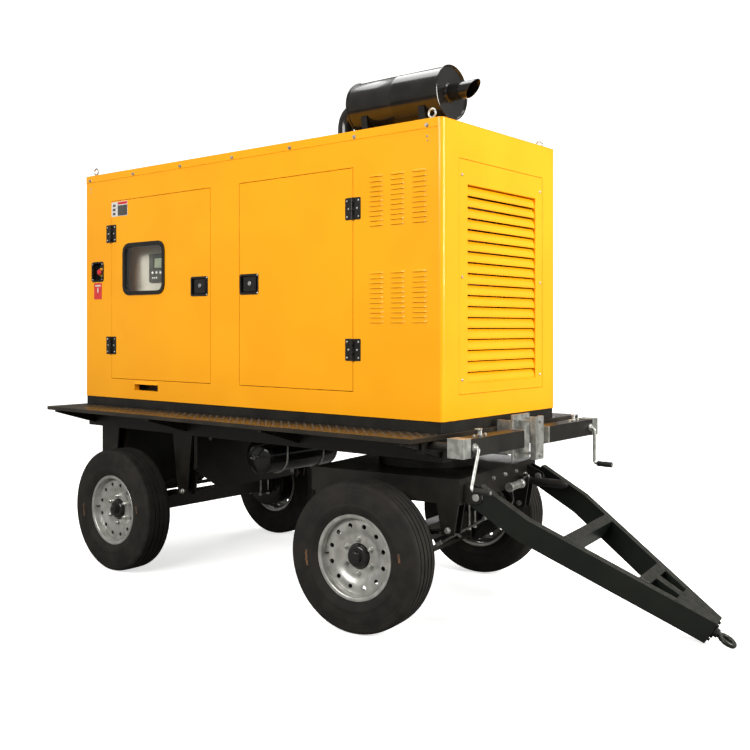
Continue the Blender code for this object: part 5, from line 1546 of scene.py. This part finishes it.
def buildTankAndBattery():
    low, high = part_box("fuel_tank")
    work, bright, straps = bmesh.new(), bmesh.new(), bmesh.new()
    spot = (low.x + 0.120, -0.380, high.z)
    addTurned(bright, [(0, 0), (0, 0.046), (0.012, 0.046), (0.014, 0.040), (0.030, 0.040), (0.034, 0.036),
                       (0.034, 0)], spot, up, 32)
    addTurned(bright, [(0, 0), (0, 0.030), (0.006, 0.030), (0.010, 0.024), (0.010, 0)],
              (low.x + 0.380, 0.0, high.z), up, 28)
    for x in (low.x + 0.070, high.x - 0.070):
        addBlock(straps, (x - 0.020, x + 0.020), (low.y - 0.0035, high.y + 0.0035),
                 (high.z, high.z + 0.0035))
        for side in sides.values():
            addBlock(straps, (x - 0.020, x + 0.020), sorted((side * high.y, side * (high.y + 0.0035))),
                     (low.z + 0.002, high.z))
            addBolt(bright, (x, side * (high.y + 0.0035), low.z + 0.030), (0, side, 0), 0.016)
    makePiece("fuel_tank_straps", straps, "chassis_black", "chassis", bevel=0.0008)
    low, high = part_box("battery")
    for i in range(6):
        x = low.x + (i + 0.5) * (high.x - low.x) / 6
        addTurned(work, [(0, 0), (0, 0.013), (0.004, 0.013), (0.006, 0.010), (0.006, 0)],
                  (x, (low.y + high.y) / 2, high.z), up, 16)
    for x, y in ((low.x + 0.030, high.y - 0.035), (high.x - 0.030, high.y - 0.035)):
        addTurned(bright, [(0, 0), (0, 0.010), (0.018, 0.009), (0.018, 0)], (x, y, high.z), up, 20)
        addTube(work,
                smoothPath([(x, y, high.z + 0.012), (x, y - 0.03, high.z + 0.045),
                            (x + 0.06, y - 0.09, high.z + 0.030), (x + 0.08, 0.240, high.z + 0.020)]),
                            0.008, 10)
    addBlock(bright, (low.x - 0.004, high.x + 0.004),
             ((low.y + high.y) / 2 - 0.055, (low.y + high.y) / 2 - 0.035), (high.z, high.z + 0.003))
    makePiece("battery_caps_and_leads", work, "black_rubber", "chassis")
    makePiece("tank_and_battery_metal", bright, "zinc", "chassis")


buildEngineDetail()
buildRadiatorDetail()
buildAlternatorDetail()
buildTankAndBattery()
print("inside built")

# under the deck

def buildUnderbody():
    x0 = housing["front"]
    work, bright = bmesh.new(), bmesh.new()
    for x, low in ((-2.905, 0.365), (-1.940, 0.520)):  # cross plates between the rear hangers
        outline = [(-0.530, 0.876), (-0.530, low + 0.140), (-0.320, low), (0.320, low),
                   (0.530, low + 0.140), (0.530, 0.876)]
        addPrism(work, outline, (x0 + x - 0.004, x0 + x + 0.004), lambda y, z, x_: (x_, y, z))
        for edge in (-1, 1):
            addBlock(work, (x0 + x - 0.004, x0 + x + 0.030), sorted((edge * 0.522, edge * 0.530)),
                     (low + 0.150, 0.874))
        for y in (-0.400, -0.200, 0.0, 0.200, 0.400):
            addBolt(bright, (x0 + x + 0.004, y, 0.845), (1, 0, 0), 0.016)
    for z, x in ((0.505, -2.500), (0.468, -2.460)):  # brake cross shafts over the rear axle
        addRod(work, (x0 + x, -0.500, z), (x0 + x, 0.500, z), 0.013, 16)
    for side in sides.values():
        addTube(work,
                smoothPath([(x0 - 2.940, side * 0.425, 0.905), (x0 - 2.0, side * 0.428, 0.900),
                            (x0 - 1.0, side * 0.425, 0.905), (x0 - 0.20, side * 0.428, 0.900)]), 0.008, 10)
        for i in range(8):
            addBlock(bright, (x0 - 2.800 + i * 0.350, x0 - 2.784 + i * 0.350),
                     sorted((side * 0.413, side * 0.4385)), (0.895, 0.9180))
    makePiece("underbody_cross_plates", work, "chassis_black", "chassis", bevel=0.001)
    makePiece("underbody_bolts_and_clips", bright, "zinc", "chassis")


buildUnderbody()
print("underbody built")

# controller seen through the window

controller = {"x": -2.368, "z": 1.953}  # its middle, from the housing's front and the floor


def buildController():
    x, z, face = housing["front"] + controller["x"], controller["z"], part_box("control_panel")[0].y
    place = lambda a, b, out: (a, face - out, b)
    work = bmesh.new()
    addPrism(work, roundedOutline((x, z), (0.250, 0.190), 0.010, 4), (0.0002, 0.0060), place)
    makePiece("controller_case", work, "panelCharcoal", "chassis", bevel=0.0015)
    work = bmesh.new()
    addPrism(work, roundedOutline((x - 0.010, z + 0.030), (0.110, 0.064), 0.004, 4), (0.0062, 0.0070),
             place)
    makePiece("controller_screen", work, "screenGreen", "chassis")
    work = bmesh.new()
    outer = roundedOutline((x - 0.010, z + 0.030), (0.126, 0.080), 0.006, 4)
    inner = roundedOutline((x - 0.010, z + 0.030), (0.110, 0.064), 0.004, 4)
    addRing(work, outer, inner, (0.0062, 0.0084), place)
    makePiece("controller_bezel", work, "latch_black", "chassis", bevel=0.0005)
    work = bmesh.new()
    for i in range(5):
        addTurned(work, [(0, 0.0085), (0.003, 0.0080), (0.0038, 0.0060), (0.0038, 0)],
                  (x - 0.086 + i * 0.042, face - 0.0062, z - 0.032), (0, -1, 0), 20)
    for i in range(3):
        addTurned(work, [(0, 0.0060), (0.002, 0.0055), (0.0026, 0.0035), (0.0026, 0)],
                  (x - 0.084 + i * 0.020, face - 0.0062, z - 0.066), (0, -1, 0), 16)
    makePiece("controller_buttons", work, "labelWhite", "chassis")
    work = bmesh.new()
    for i in range(2):
        addTurned(work, [(0, 0.0065), (0.002, 0.0060), (0.0030, 0.0040), (0.0030, 0)],
                  (x + 0.070 + i * 0.026, face - 0.0062, z - 0.064), (0, -1, 0), 16)
    makePiece("controller_lamps", work, "red_plastic", "chassis")


buildController()

# floor, light and camera

studio = {"paper": (0.90, 0.90, 0.895), "glow": 0.66, "bounce": (0.22, 0.215, 0.205), "sky": 1.0,
          "ambient": (0.44, 0.435, 0.42)}


def seenByCamera(tree):
    return addNode(tree, "ShaderNodeLightPath").outputs["Is Camera Ray"]


def buildStage():
    work = bmesh.new()
    reach, back, steps = 14.0, 9.0, 12
    rows = []
    for y, z in [(-reach, 0.0), (back - 3.0, 0.0)] + [(back - 3.0 + 3.0 * sin(a),
            3.0 - 3.0 * cos(a)) for a in (pi / 2 * (i + 1) / steps for i in range(steps))] + [(back, 9.0)]:
        rows.append([work.verts.new((x, y, z - 0.0015)) for x in (-reach, reach)])
    for a, b in zip(rows, rows[1:]):
        work.faces.new([a[0], a[1], b[1], b[0]])
    bmesh.ops.rotate(work, cent=(0, 0, 0), matrix=Matrix.Rotation(camera["turn"], 3, "Z"), verts=work.verts)
    mesh = bpy.data.meshes.new("studio_floor")
    work.to_mesh(mesh)
    work.free()
    mesh.shade_smooth()
    floor = bpy.data.objects.new("studio_floor", mesh)
    bpy.context.scene.collection.objects.link(floor)
    material = bpy.data.materials.new("studioPaper")
    material.use_nodes = True
    tree = material.node_tree
    shader = tree.nodes["Principled BSDF"]
    seen = seenByCamera(tree)
    tree.links.new(mixOn(tree, seen, studio["bounce"], studio["paper"]), shader.inputs["Base Color"])
    tree.links.new(mathOn(tree, "MULTIPLY", seen, studio["glow"]), shader.inputs["Emission Strength"])
    shader.inputs["Emission Color"].default_value = (1, 1, 1, 1)
    shader.inputs["Roughness"].default_value = 0.9
    shader.inputs["Specular IOR Level"].default_value = 0.1
    mesh.materials.append(material)


def addSoftbox(name, where, target, size, power, colour=(1, 1, 1)):
    lamp = bpy.data.lights.new(name, "AREA")
    lamp.shape, lamp.size, lamp.size_y = "RECTANGLE", size[0], size[1]
    lamp.energy, lamp.color = power, colour
    made = bpy.data.objects.new(name, lamp)
    made.location = where
    made.rotation_euler = (Vector(target) - Vector(where)).to_track_quat("-Z", "Y").to_euler()
    bpy.context.scene.collection.objects.link(made)


camera = {"where": (3.678, -4.451, 1.550), "turn": radians(39.18), "lens": 45.65, "shiftY": -0.0624}
softboxes = {
    "key": ((6.4, 1.2, 3.2), (0.8, 0.0, 1.5), (1.6, 2.6), 450, (1.0, 0.99, 0.95)),
    "side": ((0.6, -6.9, 4.4), (-0.6, 0.0, 1.3), (4.4, 2.2), 430, (1.0, 0.98, 0.95)),
    "top": ((0.0, 0.5, 6.0), (0.0, 0.0, 0.0), (5.0, 3.0), 260, (1.0, 1.0, 1.0)),
    "back": ((-3.5, 5.0, 3.6), (0.0, 0.0, 1.2), (3.0, 2.4), 150, (1.0, 1.0, 1.0)),
}


def buildCamera():
    data = bpy.data.cameras.new("camera")
    data.sensor_width, data.lens, data.shift_y = 36.0, camera["lens"], camera["shiftY"]
    data.clip_end = 60.0
    made = bpy.data.objects.new("camera", data)
    made.location = camera["where"]
    made.rotation_euler = (radians(90), 0, camera["turn"])
    bpy.context.scene.collection.objects.link(made)
    bpy.context.scene.camera = made


def buildWorld():
    world = bpy.data.worlds.new("studio")
    world.use_nodes = True
    tree = world.node_tree
    shade = tree.nodes["Background"]
    tree.links.new(mixOn(tree, seenByCamera(tree), studio["ambient"], (studio["sky"],) * 3),
                   shade.inputs["Color"])
    bpy.context.scene.world = world


buildWorld()
buildStage()
buildCamera()
for name, box in softboxes.items():
    addSoftbox(name, *box)
print("studio ready")
